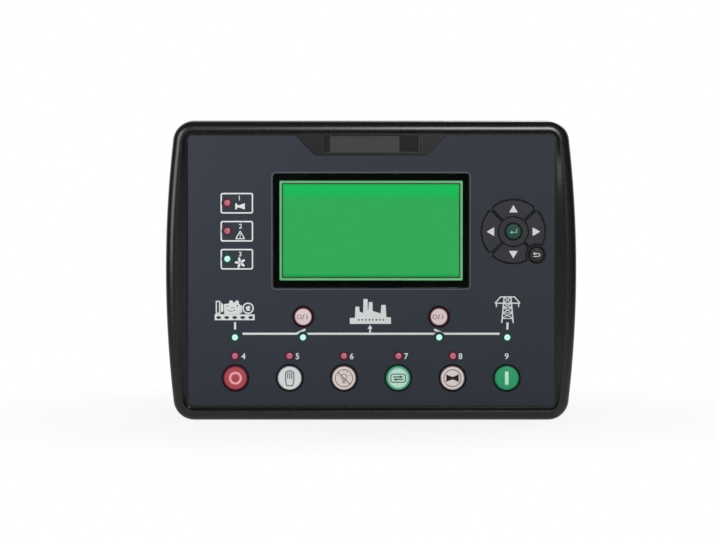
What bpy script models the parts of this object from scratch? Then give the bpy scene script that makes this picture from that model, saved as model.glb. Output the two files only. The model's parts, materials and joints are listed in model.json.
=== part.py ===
"""Panel-mounted generating-set controller.

Metres, +Z up. The front faces -Y and the origin is the centre of the panel
cut-out, on the face of the panel that the seal lies against. X runs along
the long side. Every depth below is a world Y: the larger, the further back.
"""
from math import acos, asin, atan2, cos, hypot, pi, radians, sin, sqrt, tan

import bmesh
import bpy
from mathutils import Matrix, Vector

# General fits
GAP = 0.0003                    # running and seating clearance between pieces
JOIN = 0.0008                   # how far joined solids reach into each other

# Bezel outline
BEZEL_WIDTH = 0.236
BEZEL_HEIGHT = 0.172
SIDE_BOW_RADIUS = 0.655         # the long bow of the left and right sides
BEZEL_CORNER = 0.012
CORNER_STEPS = 5
SIDE_STEPS = 8

# Bezel section
CREST_DEPTH = -0.014            # the proudest line of the rim
RIM_ROUND = 0.005               # round-over of the outer edge
RIM_ROUND_STEPS = 4
CREST_WIDTH = 0.0006
RECESS_LIP = 0.0006             # how far the inner slope ends above the overlay
OVERLAY_RECESS = 0.0026         # overlay face below the crest
SEAL_PROUD = 0.0012             # seal thickness left between bezel and panel
FLOOR_THICKNESS = 0.0025
CAVITY_MARGIN = 0.003           # housing outside to cavity wall
CAVITY_CORNER = 0.003

# Overlay
RIM_SIDE = 0.01285              # overlay edge to the widest point of the bezel
RIM_TOP = 0.0083                # overlay edge to the top and bottom of the bezel
OVERLAY_THICKNESS = 0.0005
OVERLAY_CORNER = 0.002
OVERLAY_GROOVE = 0.0011         # open line between overlay and rim
NOTCH_TOP = 0.0867
NOTCH_BOTTOM = 0.0644
NOTCH_DEPTH = 0.0115

# Nameplate and its pocket
POCKET_WIDTH = 0.0543
POCKET_HEIGHT = 0.0102
POCKET_DEPTH = 0.0010
POCKET_FROM_TOP = 0.0001        # overlay edge to the top of the pocket
PLATE_WIDTH = 0.0399
PLATE_INSET = 0.0035            # plate to the left end of the pocket
PLATE_THICKNESS = 0.0006

# Display
WINDOW_FROM_SIDE = 0.04915      # overlay edge to window, left and right
WINDOW_FROM_TOP = 0.02215
WINDOW_FROM_BOTTOM = 0.06795
WINDOW_THICKNESS = 0.0015
WINDOW_CORNER = 0.0015
WINDOW_LEDGE = 0.003            # ledge that the window rests on
MODULE_MARGIN = 0.001           # display module beyond the window at its sides
MODULE_MARGIN_TOP = 0.00185     # and at its top and bottom
MODULE_SHEET = 0.0006
GLASS_THICKNESS = 0.002
BACKLIGHT_THICKNESS = 0.003
BOARD_THICKNESS = 0.0016

# Keys
KEY_TRAVEL = 0.001
KEY_PROUD = 0.0012              # cap above the overlay
KEY_DOME = 0.0002
KEY_CHAMFER = 0.0004
KEY_LIP = 0.0012                # retaining lip beyond the cap
KEY_LIP_THICKNESS = 0.0012
KEY_RING = 0.001                # open ring of the overlay round a cap
PLUNGER_RADIUS = 0.0025
KEY_STEPS = 16

ROW_KEY_RADIUS = 0.00705
ROW_FROM_SIDE = 0.02715         # overlay edge to the first and last key of the row
ROW_FROM_BOTTOM = 0.0159
BREAKER_KEY_RADIUS = 0.0054
BREAKER_FROM_WINDOW = 0.01675   # window to the key centres below it

# Direction pad
PAD_FROM_MIDDLE = 0.0011        # right of the middle between window and overlay edge
PAD_BELOW_WINDOW = 0.0004       # below the height of the window's middle
PAD_OUTER = 0.0181
PAD_INNER = 0.0088
PAD_SLIT = 0.0015               # gap between two neighbouring pad keys
PAD_CORNER = 0.0009
PAD_PLUNGER = 0.0132            # plunger centre from the pad centre
PAD_ARC_STEPS = 7
PAD_RING = 0.0006               # open ring of the overlay round the pad
PAD_OPENING_STEPS = 24
ENTER_KEY_RADIUS = 0.0047
ESCAPE_KEY_RADIUS = 0.0044
ESCAPE_OFFSET = 0.0134          # from the pad centre, right and down alike
ESCAPE_WEB = 0.0015             # bezel left between pad keys and escape key

# Lights
PIN_RADIUS = 0.002
PIN_STEPS = 8
STATUS_FROM_SIDE = 0.02255
STATUS_PITCH = 0.0158
MIMIC_BELOW_KEYS = 0.0119
MODE_ABOVE_ROW = 0.0127
GUIDE_BAR = 0.0034              # height of the bar that carries the pins
GUIDE_BAR_THICKNESS = 0.002
LIGHT_CHIP = 0.002
LIGHT_CHIP_HEIGHT = 0.0009

# Seal
SEAL_WIDTH = 0.003
SEAL_GROOVE_DEPTH = 0.0015
SEAL_CORNER = 0.008
SEAL_FROM_HOUSING = 0.0008

# Rear housing
FLANGE_SIDE = 0.012             # bezel beyond the housing, left and right
FLANGE_TOP = 0.007              # and at the top and bottom
HOUSING_DEPTH = 0.043           # rear face behind the panel
HOUSING_WALL = 0.0022
HOUSING_CORNER = 0.005
HOUSING_EDGE = 0.0012
SHELF_DEPTH = 0.028             # terminal shelves, behind the panel
SHELF_WIDTH = 0.031             # along Z; the hump between the shelves is deeper
TUBE_FROM_SIDE = 0.0095
TUBE_FROM_TOP = 0.0105
TUBE_RADIUS = 0.005
TUBE_NECK_RADIUS = 0.0035
BOSS_RADIUS = 0.004
VENT_WIDTH = 0.0022
VENT_MARGIN = 0.012             # above and below each vent row
VENT_PITCH = 0.009
VENT_COLUMNS = 9

# Boards
BOARD_MARGIN = 0.0018           # board to the housing wall
BOARD_CORNER = 0.002
MAIN_BOARD_DEPTH = 0.014        # front face of the main board
LINK_WIDTH = 0.0508
LINK_HEIGHT = 0.005
LINK_FROM_EDGE = 0.017          # link to the lower edge of the boards
MAT_MARGIN = 0.0025             # mat to the cavity wall at its sides
MAT_MARGIN_TOP = 0.007
MAT_CLEARANCE = 0.001           # mat to the bosses at its corners
MAT_THICKNESS = 0.0015
COLLAR_RADIUS = 0.0042
COLLAR_STEPS = 8

# Terminals
HEADER_HEIGHT = 0.012
HEADER_WALL = 0.001
HEADER_REAR = 0.0295
HEADER_POCKET = 0.008
PLUG_HEIGHT = 0.0146
PLUG_REAR = 0.0428
WIRE_ENTRY = 0.0034
WIRE_ENTRY_DEPTH = 0.006
POWER_PITCH = 0.00762
POWER_WAYS = 8
SIGNAL_PITCH = 0.00508
SIGNAL_WAYS = 13
TERMINAL_FROM_TUBE = 0.002

# Service socket in the right wall
SOCKET_WIDTH = 0.012            # along Z
SOCKET_HEIGHT = 0.011           # along Y
SOCKET_LENGTH = 0.016
SOCKET_WALL = 0.0012
SOCKET_TONGUE = 0.0032
SOCKET_POCKET = 0.009

# Pieces on the main board
RELAY_SIZE = (0.0127, 0.0290, 0.0157)
RELAY_FROM_SIDE = 0.058         # housing side to the first relay's middle
RELAY_PITCH = 0.016
RELAY_Z = -0.012
TRANSFORMER_SIZE = (0.018, 0.018, 0.017)
TRANSFORMER_FROM_SIDE = 0.031   # housing side to the first transformer's middle
TRANSFORMER_PITCH = 0.023
BATTERY_RADIUS = 0.010
BATTERY_THICKNESS = 0.0032
BATTERY_X = 0.010
BATTERY_Z = 0.020

# Fixing clips and screws
CLIP_FROM_SHELF = 0.008         # clip centre to the edge of the hump
CLIP_WIDTH = 0.012              # along Z
CLIP_FRONT = 0.0175
CLIP_REAR = 0.0315
CLIP_THICKNESS = 0.0092         # along X
CLIP_TONGUE = 0.008
CLIP_TONGUE_THICKNESS = 0.003
CLIP_LIP_THICKNESS = 0.002
CLIP_LIP_REACH = 0.0040         # lip in front of the tongue
CLIP_SCREW_RADIUS = 0.002
CLIP_SCREW_OUT = 0.0052         # screw axis from the housing side
CLIP_SCREW_FRONT = 0.003
CLIP_SCREW_REAR = 0.037
CLIP_PAD_RADIUS = 0.0036
CLIP_PAD_THICKNESS = 0.0016
SCREW_RADIUS = 0.0015
SCREW_HEAD_RADIUS = 0.0028
SCREW_HEAD_HEIGHT = 0.0022
SCREW_SINK = 0.003
SCREW_TIP_DEPTH = -0.0065
DRIVE_SLOT = 0.0009
SCREW_STEPS = 8
HOLE_STEPS = 8

# Coring pockets behind the bowed sides
CORING_WALL = 0.0026
CORING_LAND = 0.0015            # wall between seal groove and pocket
CORING_DEPTH = 0.0078
CORING_SPANS = ((0.0015, 0.0245), (0.0275, 0.050))
CORING_STEPS = 3

# Widths, heights and places that follow from the sizes above
OVERLAY_WIDTH = BEZEL_WIDTH - 2.0 * RIM_SIDE
OVERLAY_HEIGHT = BEZEL_HEIGHT - 2.0 * RIM_TOP
HOUSING_WIDTH = BEZEL_WIDTH - 2.0 * FLANGE_SIDE
HOUSING_HEIGHT = BEZEL_HEIGHT - 2.0 * FLANGE_TOP
CAVITY_WIDTH = HOUSING_WIDTH - 2.0 * CAVITY_MARGIN
CAVITY_HEIGHT = HOUSING_HEIGHT - 2.0 * CAVITY_MARGIN
POCKET_TOP = OVERLAY_HEIGHT / 2.0 - POCKET_FROM_TOP
WINDOW_WIDTH = OVERLAY_WIDTH - 2.0 * WINDOW_FROM_SIDE
WINDOW_HEIGHT = OVERLAY_HEIGHT - WINDOW_FROM_TOP - WINDOW_FROM_BOTTOM
WINDOW_Z = (WINDOW_FROM_BOTTOM - WINDOW_FROM_TOP) / 2.0
MODULE_WIDTH = WINDOW_WIDTH + 2.0 * MODULE_MARGIN
MODULE_HEIGHT = WINDOW_HEIGHT + 2.0 * MODULE_MARGIN_TOP
ROW_END = OVERLAY_WIDTH / 2.0 - ROW_FROM_SIDE
ROW_KEY_Z = ROW_FROM_BOTTOM - OVERLAY_HEIGHT / 2.0
BREAKER_KEY_Z = WINDOW_Z - WINDOW_HEIGHT / 2.0 - BREAKER_FROM_WINDOW
STATUS_X = STATUS_FROM_SIDE - OVERLAY_WIDTH / 2.0
MIMIC_Z = BREAKER_KEY_Z - MIMIC_BELOW_KEYS
MODE_Z = ROW_KEY_Z + MODE_ABOVE_ROW
PAD_X = (OVERLAY_WIDTH - WINDOW_FROM_SIDE) / 2.0 + PAD_FROM_MIDDLE
PAD_Z = WINDOW_Z - PAD_BELOW_WINDOW
ESCAPE_X = PAD_X + ESCAPE_OFFSET
ESCAPE_Z = PAD_Z - ESCAPE_OFFSET
HUMP_HEIGHT = HOUSING_HEIGHT - 2.0 * SHELF_WIDTH
TUBE_X = HOUSING_WIDTH / 2.0 - TUBE_FROM_SIDE
TUBE_Z = HOUSING_HEIGHT / 2.0 - TUBE_FROM_TOP
TERMINAL_Z = (HOUSING_HEIGHT - SHELF_WIDTH) / 2.0
BOARD_WIDTH = HOUSING_WIDTH - 2.0 * (HOUSING_WALL + BOARD_MARGIN)
BOARD_HEIGHT = HOUSING_HEIGHT - 2.0 * (HOUSING_WALL + BOARD_MARGIN)
LINK_Z = LINK_FROM_EDGE - BOARD_HEIGHT / 2.0
MAT_WIDTH = CAVITY_WIDTH - 2.0 * MAT_MARGIN
MAT_HEIGHT = CAVITY_HEIGHT - 2.0 * MAT_MARGIN_TOP
CLIP_Z = HUMP_HEIGHT / 2.0 - CLIP_FROM_SHELF

# Depths that follow from the sizes above
BEZEL_REAR = -SEAL_PROUD
OVERLAY_FRONT = CREST_DEPTH + OVERLAY_RECESS
OVERLAY_BACK = OVERLAY_FRONT + OVERLAY_THICKNESS
FLOOR_FRONT = OVERLAY_BACK + GAP
FLOOR_BACK = FLOOR_FRONT + FLOOR_THICKNESS
WINDOW_BACK = OVERLAY_FRONT + WINDOW_THICKNESS
MODULE_FRONT = FLOOR_BACK + GAP
GLASS_FRONT = MODULE_FRONT + MODULE_SHEET + GAP
GLASS_BACK = GLASS_FRONT + GLASS_THICKNESS
BACKLIGHT_FRONT = GLASS_BACK + GAP
BACKLIGHT_BACK = BACKLIGHT_FRONT + BACKLIGHT_THICKNESS
LCD_BOARD_FRONT = BACKLIGHT_BACK + GAP
LCD_BOARD_BACK = LCD_BOARD_FRONT + BOARD_THICKNESS
BOARD_FRONT = LCD_BOARD_BACK + GAP
BOARD_BACK = BOARD_FRONT + BOARD_THICKNESS
MAT_BACK = BOARD_FRONT - GAP
MAT_FRONT = MAT_BACK - MAT_THICKNESS
LIP_FRONT = FLOOR_BACK + GAP
LIP_BACK = LIP_FRONT + KEY_LIP_THICKNESS
PLUNGER_END = BOARD_FRONT - GAP - KEY_TRAVEL
KEY_FRONT = OVERLAY_FRONT - KEY_PROUD
COLLAR_FRONT = LIP_BACK + KEY_TRAVEL + GAP
MAIN_BOARD_BACK = MAIN_BOARD_DEPTH + BOARD_THICKNESS
HOUSING_FRONT = BEZEL_REAR + GAP

ROW_KEYS = ("stop_key", "manual_key", "test_key", "auto_key", "mute_key", "start_key")
PAD_KEYS = (("right_key", 0.0), ("up_key", 90.0), ("left_key", 180.0), ("down_key", 270.0))


# Scene and materials

def clear_scene():
    for old in list(bpy.data.objects):
        bpy.data.objects.remove(old, do_unlink=True)


def new_collection(name):
    made = bpy.data.collections.new(name)
    bpy.context.scene.collection.children.link(made)
    return made


def material(name, colour, roughness, metallic=0.0):
    made = bpy.data.materials.new(name)
    made.use_nodes = True
    shader = made.node_tree.nodes["Principled BSDF"]
    shader.inputs["Base Color"].default_value = (*colour, 1.0)
    shader.inputs["Roughness"].default_value = roughness
    shader.inputs["Metallic"].default_value = metallic
    return made


def paint(obj, name, colour, roughness, metallic=0.0):
    obj.data.materials.clear()
    obj.data.materials.append(material(name, colour, roughness, metallic))


# Outlines in the X-Z plane, as lists of (x, z)

def circle(x, z, radius, steps):
    turn = [2.0 * pi * i / steps for i in range(steps)]
    return [(x + radius * cos(a), z + radius * sin(a)) for a in turn]


def rectangle(x, z, width, height):
    w, h = width / 2.0, height / 2.0
    return [(x - w, z - h), (x + w, z - h), (x + w, z + h), (x - w, z + h)]


def rounded(points, radius, steps=3):
    """Round each sharp corner of an outline, leaving shallow arc joints alone."""
    out = []
    for i, here in enumerate(points):
        p = Vector(here)
        back = Vector(points[i - 1]) - p
        ahead = Vector(points[(i + 1) % len(points)]) - p
        opening = acos(max(-1.0, min(1.0, back.normalized().dot(ahead.normalized()))))
        if opening > radians(150):
            out.append(here)
            continue
        reach = min(radius / tan(opening / 2.0), 0.48 * back.length, 0.48 * ahead.length)
        size = reach * tan(opening / 2.0)
        bisector = (back.normalized() + ahead.normalized()).normalized()
        centre = p + bisector * (size / sin(opening / 2.0))
        start = p + back.normalized() * reach - centre
        end = p + ahead.normalized() * reach - centre
        first = atan2(start.y, start.x)
        swing = (atan2(end.y, end.x) - first + pi) % (2.0 * pi) - pi
        for k in range(steps + 1):
            a = first + swing * k / steps
            out.append((centre.x + size * cos(a), centre.y + size * sin(a)))
    return out


def rounded_rectangle(x, z, width, height, radius, steps=3):
    return rounded(rectangle(x, z, width, height), radius, steps)


def barrel(inset=0.0):
    """The bezel outline, clockwise from the top right, drawn inwards by inset."""
    top = BEZEL_HEIGHT / 2.0
    bow_x = BEZEL_WIDTH / 2.0 - SIDE_BOW_RADIUS
    corner_z = top - BEZEL_CORNER
    reach = SIDE_BOW_RADIUS - BEZEL_CORNER
    corner_x = bow_x + sqrt(reach ** 2 - corner_z ** 2)
    side = asin(corner_z / reach)
    round_over = BEZEL_CORNER - inset
    bow = SIDE_BOW_RADIUS - inset
    right = []
    for i in range(CORNER_STEPS + 1):
        a = pi / 2.0 + (side - pi / 2.0) * i / CORNER_STEPS
        right.append((corner_x + round_over * cos(a), corner_z + round_over * sin(a)))
    for i in range(1, SIDE_STEPS):
        a = side - 2.0 * side * i / SIDE_STEPS
        right.append((bow_x + bow * cos(a), bow * sin(a)))
    right += [(x, -z) for x, z in reversed(right[:CORNER_STEPS + 1])]
    return right + [(-x, z) for x, z in reversed(right)]


def recess(grow=0.0):
    """The straight-sided recess round the overlay, point for point like barrel()."""
    half_w = OVERLAY_WIDTH / 2.0 + OVERLAY_GROOVE + grow
    half_h = OVERLAY_HEIGHT / 2.0 + OVERLAY_GROOVE + grow
    corner = OVERLAY_CORNER + OVERLAY_GROOVE + grow
    right = []
    for i in range(CORNER_STEPS + 1):
        a = pi / 2.0 * (1.0 - i / CORNER_STEPS)
        right.append((half_w - corner + corner * cos(a), half_h - corner + corner * sin(a)))
    for i in range(1, SIDE_STEPS):
        right.append((half_w, (half_h - corner) * (1.0 - 2.0 * i / SIDE_STEPS)))
    right += [(x, -z) for x, z in reversed(right[:CORNER_STEPS + 1])]
    return right + [(-x, z) for x, z in reversed(right)]


def side_x(z):
    """Half width of the bezel at height z."""
    return BEZEL_WIDTH / 2.0 - SIDE_BOW_RADIUS + sqrt(SIDE_BOW_RADIUS ** 2 - z ** 2)


def notch_outline(grow=0.0):
    """The trapezoid at the top of the overlay that shows the bezel, down from its top."""
    top = OVERLAY_HEIGHT / 2.0
    wide, narrow = NOTCH_TOP / 2.0 - grow, NOTCH_BOTTOM / 2.0 - grow
    return [(-wide, top), (-narrow, top - NOTCH_DEPTH + grow),
            (narrow, top - NOTCH_DEPTH + grow), (wide, top)]


def bite(points, x, z, radius, steps=6):
    """Cut a circle out of the edge of an outline that it overlaps."""
    kept, crossings = [], []
    for i, here in enumerate(points):
        after = points[(i + 1) % len(points)]
        if hypot(here[0] - x, here[1] - z) > radius:
            kept.append(here)
        a = Vector(here) - Vector((x, z))
        d = Vector(after) - Vector(here)
        reach = a.dot(d) ** 2 - d.dot(d) * (a.dot(a) - radius ** 2)
        if reach <= 0.0:
            continue
        for sign in (-1.0, 1.0):
            t = (-a.dot(d) + sign * sqrt(reach)) / d.dot(d)
            if 0.0 <= t < 1.0:
                crossings.append((sign, len(kept), Vector(here) + d * t))
    if len(crossings) != 2:
        return points
    entry = next(c for c in crossings if c[0] < 0)
    leave = next(c for c in crossings if c[0] > 0)
    first = atan2(entry[2].y - z, entry[2].x - x)
    last = atan2(leave[2].y - z, leave[2].x - x)
    swing = (last - first + pi) % (2.0 * pi) - pi
    arc = [(x + radius * cos(first + swing * k / steps),
            z + radius * sin(first + swing * k / steps)) for k in range(steps + 1)]
    return kept[:entry[1]] + arc + kept[entry[1]:]


def pad_sector(facing, slit, inner, outer, keep_out, grow=0.0):
    """A quarter of the pad ring, between two slits that run along the diagonals."""
    half_slit = slit / 2.0
    points = []
    for radius, ahead in ((outer, True), (inner, False)):
        spread = radians(45.0) - asin(half_slit / radius)
        steps = PAD_ARC_STEPS if ahead else PAD_ARC_STEPS // 2
        for i in range(steps + 1):
            turn = -spread + 2.0 * spread * i / steps
            a = radians(facing) + (turn if ahead else -turn)
            points.append((PAD_X + radius * cos(a), PAD_Z + radius * sin(a)))
    points = bite(points, ESCAPE_X, ESCAPE_Z, keep_out)
    return rounded(points, PAD_CORNER + grow, 2)


def pad_opening(ring):
    """Opening of the overlay: the pad circle merged with the escape key's."""
    big = PAD_OUTER + ring
    small = ESCAPE_KEY_RADIUS + KEY_RING
    far = hypot(ESCAPE_OFFSET, ESCAPE_OFFSET)
    along = (far ** 2 + big ** 2 - small ** 2) / (2.0 * far)
    big_half = acos(along / big)
    small_half = acos((far - along) / small)
    towards = -pi / 4.0
    points = []
    for i in range(PAD_OPENING_STEPS + 1):
        a = towards + big_half + (2.0 * pi - 2.0 * big_half) * i / PAD_OPENING_STEPS
        points.append((PAD_X + big * cos(a), PAD_Z + big * sin(a)))
    for i in range(1, KEY_STEPS // 2):
        a = towards + pi + small_half + 4.0 * (pi - small_half) * i / KEY_STEPS
        points.append((ESCAPE_X + small * cos(a), ESCAPE_Z + small * sin(a)))
    return points


# Solids

FRONT_VIEW = Matrix.Rotation(radians(90.0), 4, "X")
SIDE_VIEW = Matrix(((0, 0, 1, 0), (1, 0, 0, 0), (0, 1, 0, 0), (0, 0, 0, 1)))


def extruded(name, outlines, thickness, placed, into):
    """A flat outline with its holes, extruded evenly about its own plane."""
    curve = bpy.data.curves.new(name, "CURVE")
    curve.dimensions = "2D"
    curve.fill_mode = "BOTH"
    curve.extrude = thickness / 2.0
    for outline in outlines:
        spline = curve.splines.new("POLY")
        spline.points.add(len(outline) - 1)
        for point, (u, v) in zip(spline.points, outline):
            point.co = (u, v, 0.0, 1.0)
        spline.use_cyclic_u = True
    drawn = bpy.data.objects.new(name + "_outline", curve)
    into.objects.link(drawn)
    drawn.matrix_world = placed
    bpy.context.view_layer.update()
    ready = drawn.evaluated_get(bpy.context.evaluated_depsgraph_get())
    mesh = bpy.data.meshes.new_from_object(ready)
    mesh.name = name
    solid = bpy.data.objects.new(name, mesh)
    into.objects.link(solid)
    solid.matrix_world = drawn.matrix_world
    bpy.data.objects.remove(drawn, do_unlink=True)
    shape = bmesh.new()
    shape.from_mesh(mesh)
    bmesh.ops.remove_doubles(shape, verts=shape.verts, dist=0.00001)
    bmesh.ops.recalc_face_normals(shape, faces=shape.faces)
    shape.to_mesh(mesh)
    shape.free()
    return solid


def plate(name, outlines, front, back, into, x=0.0, z=0.0):
    """Outlines in X-Z, measured from (x, z), between two depths."""
    local = [[(u - x, v - z) for u, v in outline] for outline in outlines]
    placed = Matrix.Translation((x, (front + back) / 2.0, z)) @ FRONT_VIEW
    return extruded(name, local, back - front, placed, into)


def bar(name, outlines, left, right, into):
    """Outlines in Y-Z, as (y, z), between two places along X."""
    placed = Matrix.Translation(((left + right) / 2.0, 0.0, 0.0)) @ SIDE_VIEW
    return extruded(name, outlines, right - left, placed, into)


def box(name, low, high, into):
    """A box between two corners, from a unit cube."""
    mesh = bpy.data.meshes.new(name)
    shape = bmesh.new()
    bmesh.ops.create_cube(shape, size=1.0)
    size = [b - a for a, b in zip(low, high)]
    bmesh.ops.scale(shape, vec=size, verts=shape.verts)
    shape.to_mesh(mesh)
    shape.free()
    solid = bpy.data.objects.new(name, mesh)
    solid.location = [(a + b) / 2.0 for a, b in zip(low, high)]
    into.objects.link(solid)
    return solid


def turned(name, profile, x, z, into, steps=KEY_STEPS):
    """A turned solid on a Y axis: (radius, depth) pairs from the front to the back."""
    mesh = bpy.data.meshes.new(name)
    mesh.from_pydata([(r, 0.0, -y) for r, y in profile],
                     [(i, i + 1) for i in range(len(profile) - 1)], [])
    solid = bpy.data.objects.new(name, mesh)
    into.objects.link(solid)
    solid.matrix_world = Matrix.Translation((x, 0.0, z)) @ FRONT_VIEW
    screw = solid.modifiers.new("turn", "SCREW")
    screw.steps = steps
    screw.render_steps = steps
    screw.use_merge_vertices = True
    screw.merge_threshold = 0.00001
    screw.use_smooth_shade = True
    return solid


def as_tool(solid):
    for home in list(solid.users_collection):
        home.objects.unlink(solid)
    TOOLS.objects.link(solid)
    solid.hide_render = True
    solid.display_type = "WIRE"
    return solid


def combine(target, tool, operation):
    as_tool(tool)
    change = target.modifiers.new(operation.lower(), "BOOLEAN")
    change.operation = operation
    change.solver = "EXACT"
    change.object = tool


def cut(target, tool):
    combine(target, tool, "DIFFERENCE")


def join(target, tool):
    combine(target, tool, "UNION")


def soften(obj, width, segments=2, angle=40.0):
    edge = obj.modifiers.new("soften", "BEVEL")
    edge.width = width
    edge.segments = segments
    edge.limit_method = "ANGLE"
    edge.angle_limit = radians(angle)


# Front bezel

def bezel_blank():
    """The rim section carried round the barrel outline and down to the overlay floor."""
    rings = [(barrel(), BEZEL_REAR)]
    for i in range(RIM_ROUND_STEPS + 1):
        a = pi / 2.0 * i / RIM_ROUND_STEPS
        inset = RIM_ROUND * (1.0 - cos(a))
        rings.append((barrel(inset), CREST_DEPTH + RIM_ROUND * (1.0 - sin(a))))
    rings.append((barrel(RIM_ROUND + CREST_WIDTH), CREST_DEPTH))
    rings.append((recess(), OVERLAY_FRONT - RECESS_LIP))
    rings.append((recess(), FLOOR_FRONT))
    shape = bmesh.new()
    loops = [[shape.verts.new((x, y, z)) for x, z in ring] for ring, y in rings]
    shape.faces.new(loops[0])
    shape.faces.new(loops[-1])
    for near, far in zip(loops, loops[1:]):
        for i in range(len(near)):
            k = (i + 1) % len(near)
            shape.faces.new((near[i], near[k], far[k], far[i]))
    bmesh.ops.recalc_face_normals(shape, faces=shape.faces)
    mesh = bpy.data.meshes.new("front_bezel")
    shape.to_mesh(mesh)
    shape.free()
    blank = bpy.data.objects.new("front_bezel", mesh)
    PARTS.objects.link(blank)
    return blank


def tube_places():
    return [(sx * TUBE_X, sz * TUBE_Z) for sx in (-1.0, 1.0) for sz in (-1.0, 1.0)]


def row_key_x(index):
    return ROW_END * (2.0 * index / (len(ROW_KEYS) - 1) - 1.0)


def round_keys():
    """Name, x, z and cap radius of every round key."""
    keys = [(name, row_key_x(i), ROW_KEY_Z, ROW_KEY_RADIUS) for i, name in enumerate(ROW_KEYS)]
    keys.append(("generator_breaker_key", -ROW_END / 2.0, BREAKER_KEY_Z, BREAKER_KEY_RADIUS))
    keys.append(("mains_breaker_key", ROW_END / 2.0, BREAKER_KEY_Z, BREAKER_KEY_RADIUS))
    keys.append(("enter_key", PAD_X, PAD_Z, ENTER_KEY_RADIUS))
    keys.append(("escape_key", ESCAPE_X, ESCAPE_Z, ESCAPE_KEY_RADIUS))
    return keys


def status_lights():
    return [(STATUS_X, WINDOW_Z + step * STATUS_PITCH) for step in (1, 0, -1)]


def mimic_lights():
    """Below the first and last key of the row and below the two breaker keys."""
    return [(ROW_END * share, MIMIC_Z) for share in (-1.0, -0.5, 0.5, 1.0)]


def mode_lights():
    """Above every key of the row but the last."""
    return [(row_key_x(i), MODE_Z) for i in range(len(ROW_KEYS) - 1)]


def light_places():
    return status_lights() + mimic_lights() + mode_lights()


def coring_outlines():
    """Hollows behind the bowed sides, two above and two below the middle on each side."""
    inner = HOUSING_WIDTH / 2.0 + SEAL_FROM_HOUSING + SEAL_WIDTH + GAP + CORING_LAND
    outlines = []
    for low, high in CORING_SPANS:
        heights = [low + (high - low) * i / CORING_STEPS for i in range(CORING_STEPS + 1)]
        edge = [(side_x(z) - CORING_WALL, z) for z in heights]
        shape = [(inner, low)] + edge + [(inner, high)]
        for sx in (-1.0, 1.0):
            for sz in (-1.0, 1.0):
                outlines.append([(sx * x, sz * z) for x, z in shape])
    return outlines


def seal_outlines(spare):
    """Outer and inner outline of the seal, widened by spare on both sides."""
    inner_w = HOUSING_WIDTH + 2.0 * (SEAL_FROM_HOUSING - spare)
    inner_h = HOUSING_HEIGHT + 2.0 * (SEAL_FROM_HOUSING - spare)
    wide = 2.0 * (SEAL_WIDTH + 2.0 * spare)
    outer = rounded_rectangle(0, 0, inner_w + wide, inner_h + wide, SEAL_CORNER + spare, 5)
    inner = rounded_rectangle(0, 0, inner_w, inner_h, SEAL_CORNER - SEAL_WIDTH - spare, 5)
    return [outer, inner]


def front_bezel():
    bezel = bezel_blank()
    island = notch_outline(GAP)
    top = BEZEL_HEIGHT / 2.0 - RIM_ROUND
    island = [(island[0][0], top)] + island + [(island[-1][0], top)]
    join(bezel, plate("notch_island", [island], OVERLAY_FRONT, FLOOR_FRONT + JOIN, PARTS))
    hub = PAD_INNER - 2.0 * GAP
    join(bezel, plate("pad_hub", [circle(PAD_X, PAD_Z, hub, KEY_STEPS)],
                      OVERLAY_FRONT, FLOOR_FRONT + JOIN, PARTS))
    cavity = rounded_rectangle(0, 0, CAVITY_WIDTH, CAVITY_HEIGHT, CAVITY_CORNER)
    cut(bezel, plate("rear_cavity", [cavity], FLOOR_BACK, BEZEL_REAR + JOIN, PARTS))
    bosses = [circle(x, z, BOSS_RADIUS, SCREW_STEPS) for x, z in tube_places()]
    join(bezel, plate("bosses", bosses, FLOOR_BACK - JOIN, BOARD_FRONT - GAP, PARTS))
    pilots = [circle(x, z, SCREW_RADIUS + GAP, HOLE_STEPS) for x, z in tube_places()]
    cut(bezel, plate("pilot_holes", pilots, SCREW_TIP_DEPTH - 2.0 * GAP, BOARD_FRONT, PARTS))
    bores = [circle(x, z, r + GAP, KEY_STEPS) for _, x, z, r in round_keys()]
    bores += [circle(x, z, PIN_RADIUS + GAP, PIN_STEPS) for x, z in light_places()]
    bores += [pad_sector(facing, PAD_SLIT - 2.0 * GAP, PAD_INNER - GAP, PAD_OUTER + GAP,
                         ESCAPE_KEY_RADIUS + GAP + ESCAPE_WEB, GAP) for _, facing in PAD_KEYS]
    bores.append(rounded_rectangle(0, WINDOW_Z, WINDOW_WIDTH - 2.0 * WINDOW_LEDGE,
                                   WINDOW_HEIGHT - 2.0 * WINDOW_LEDGE, WINDOW_CORNER))
    cut(bezel, plate("front_bores", bores, CREST_DEPTH, FLOOR_BACK + JOIN, PARTS))
    rebate = rounded_rectangle(0, WINDOW_Z, WINDOW_WIDTH + 2.0 * GAP,
                               WINDOW_HEIGHT + 2.0 * GAP, WINDOW_CORNER + GAP)
    cut(bezel, plate("window_rebate", [rebate], CREST_DEPTH, WINDOW_BACK + GAP, PARTS))
    pocket = rectangle(0, POCKET_TOP - POCKET_HEIGHT / 2.0, POCKET_WIDTH, POCKET_HEIGHT)
    cut(bezel, plate("plate_pocket", [rounded(pocket, 0.0005, 1)], CREST_DEPTH,
                     OVERLAY_FRONT + POCKET_DEPTH, PARTS))
    cut(bezel, plate("seal_groove", seal_outlines(GAP), BEZEL_REAR - SEAL_GROOVE_DEPTH,
                     BEZEL_REAR + JOIN, PARTS))
    cut(bezel, plate("coring", coring_outlines(), BEZEL_REAR - CORING_DEPTH,
                     BEZEL_REAR + JOIN, PARTS))
    paint(bezel, "bezel plastic", (0.022, 0.022, 0.024), 0.45)


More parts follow.
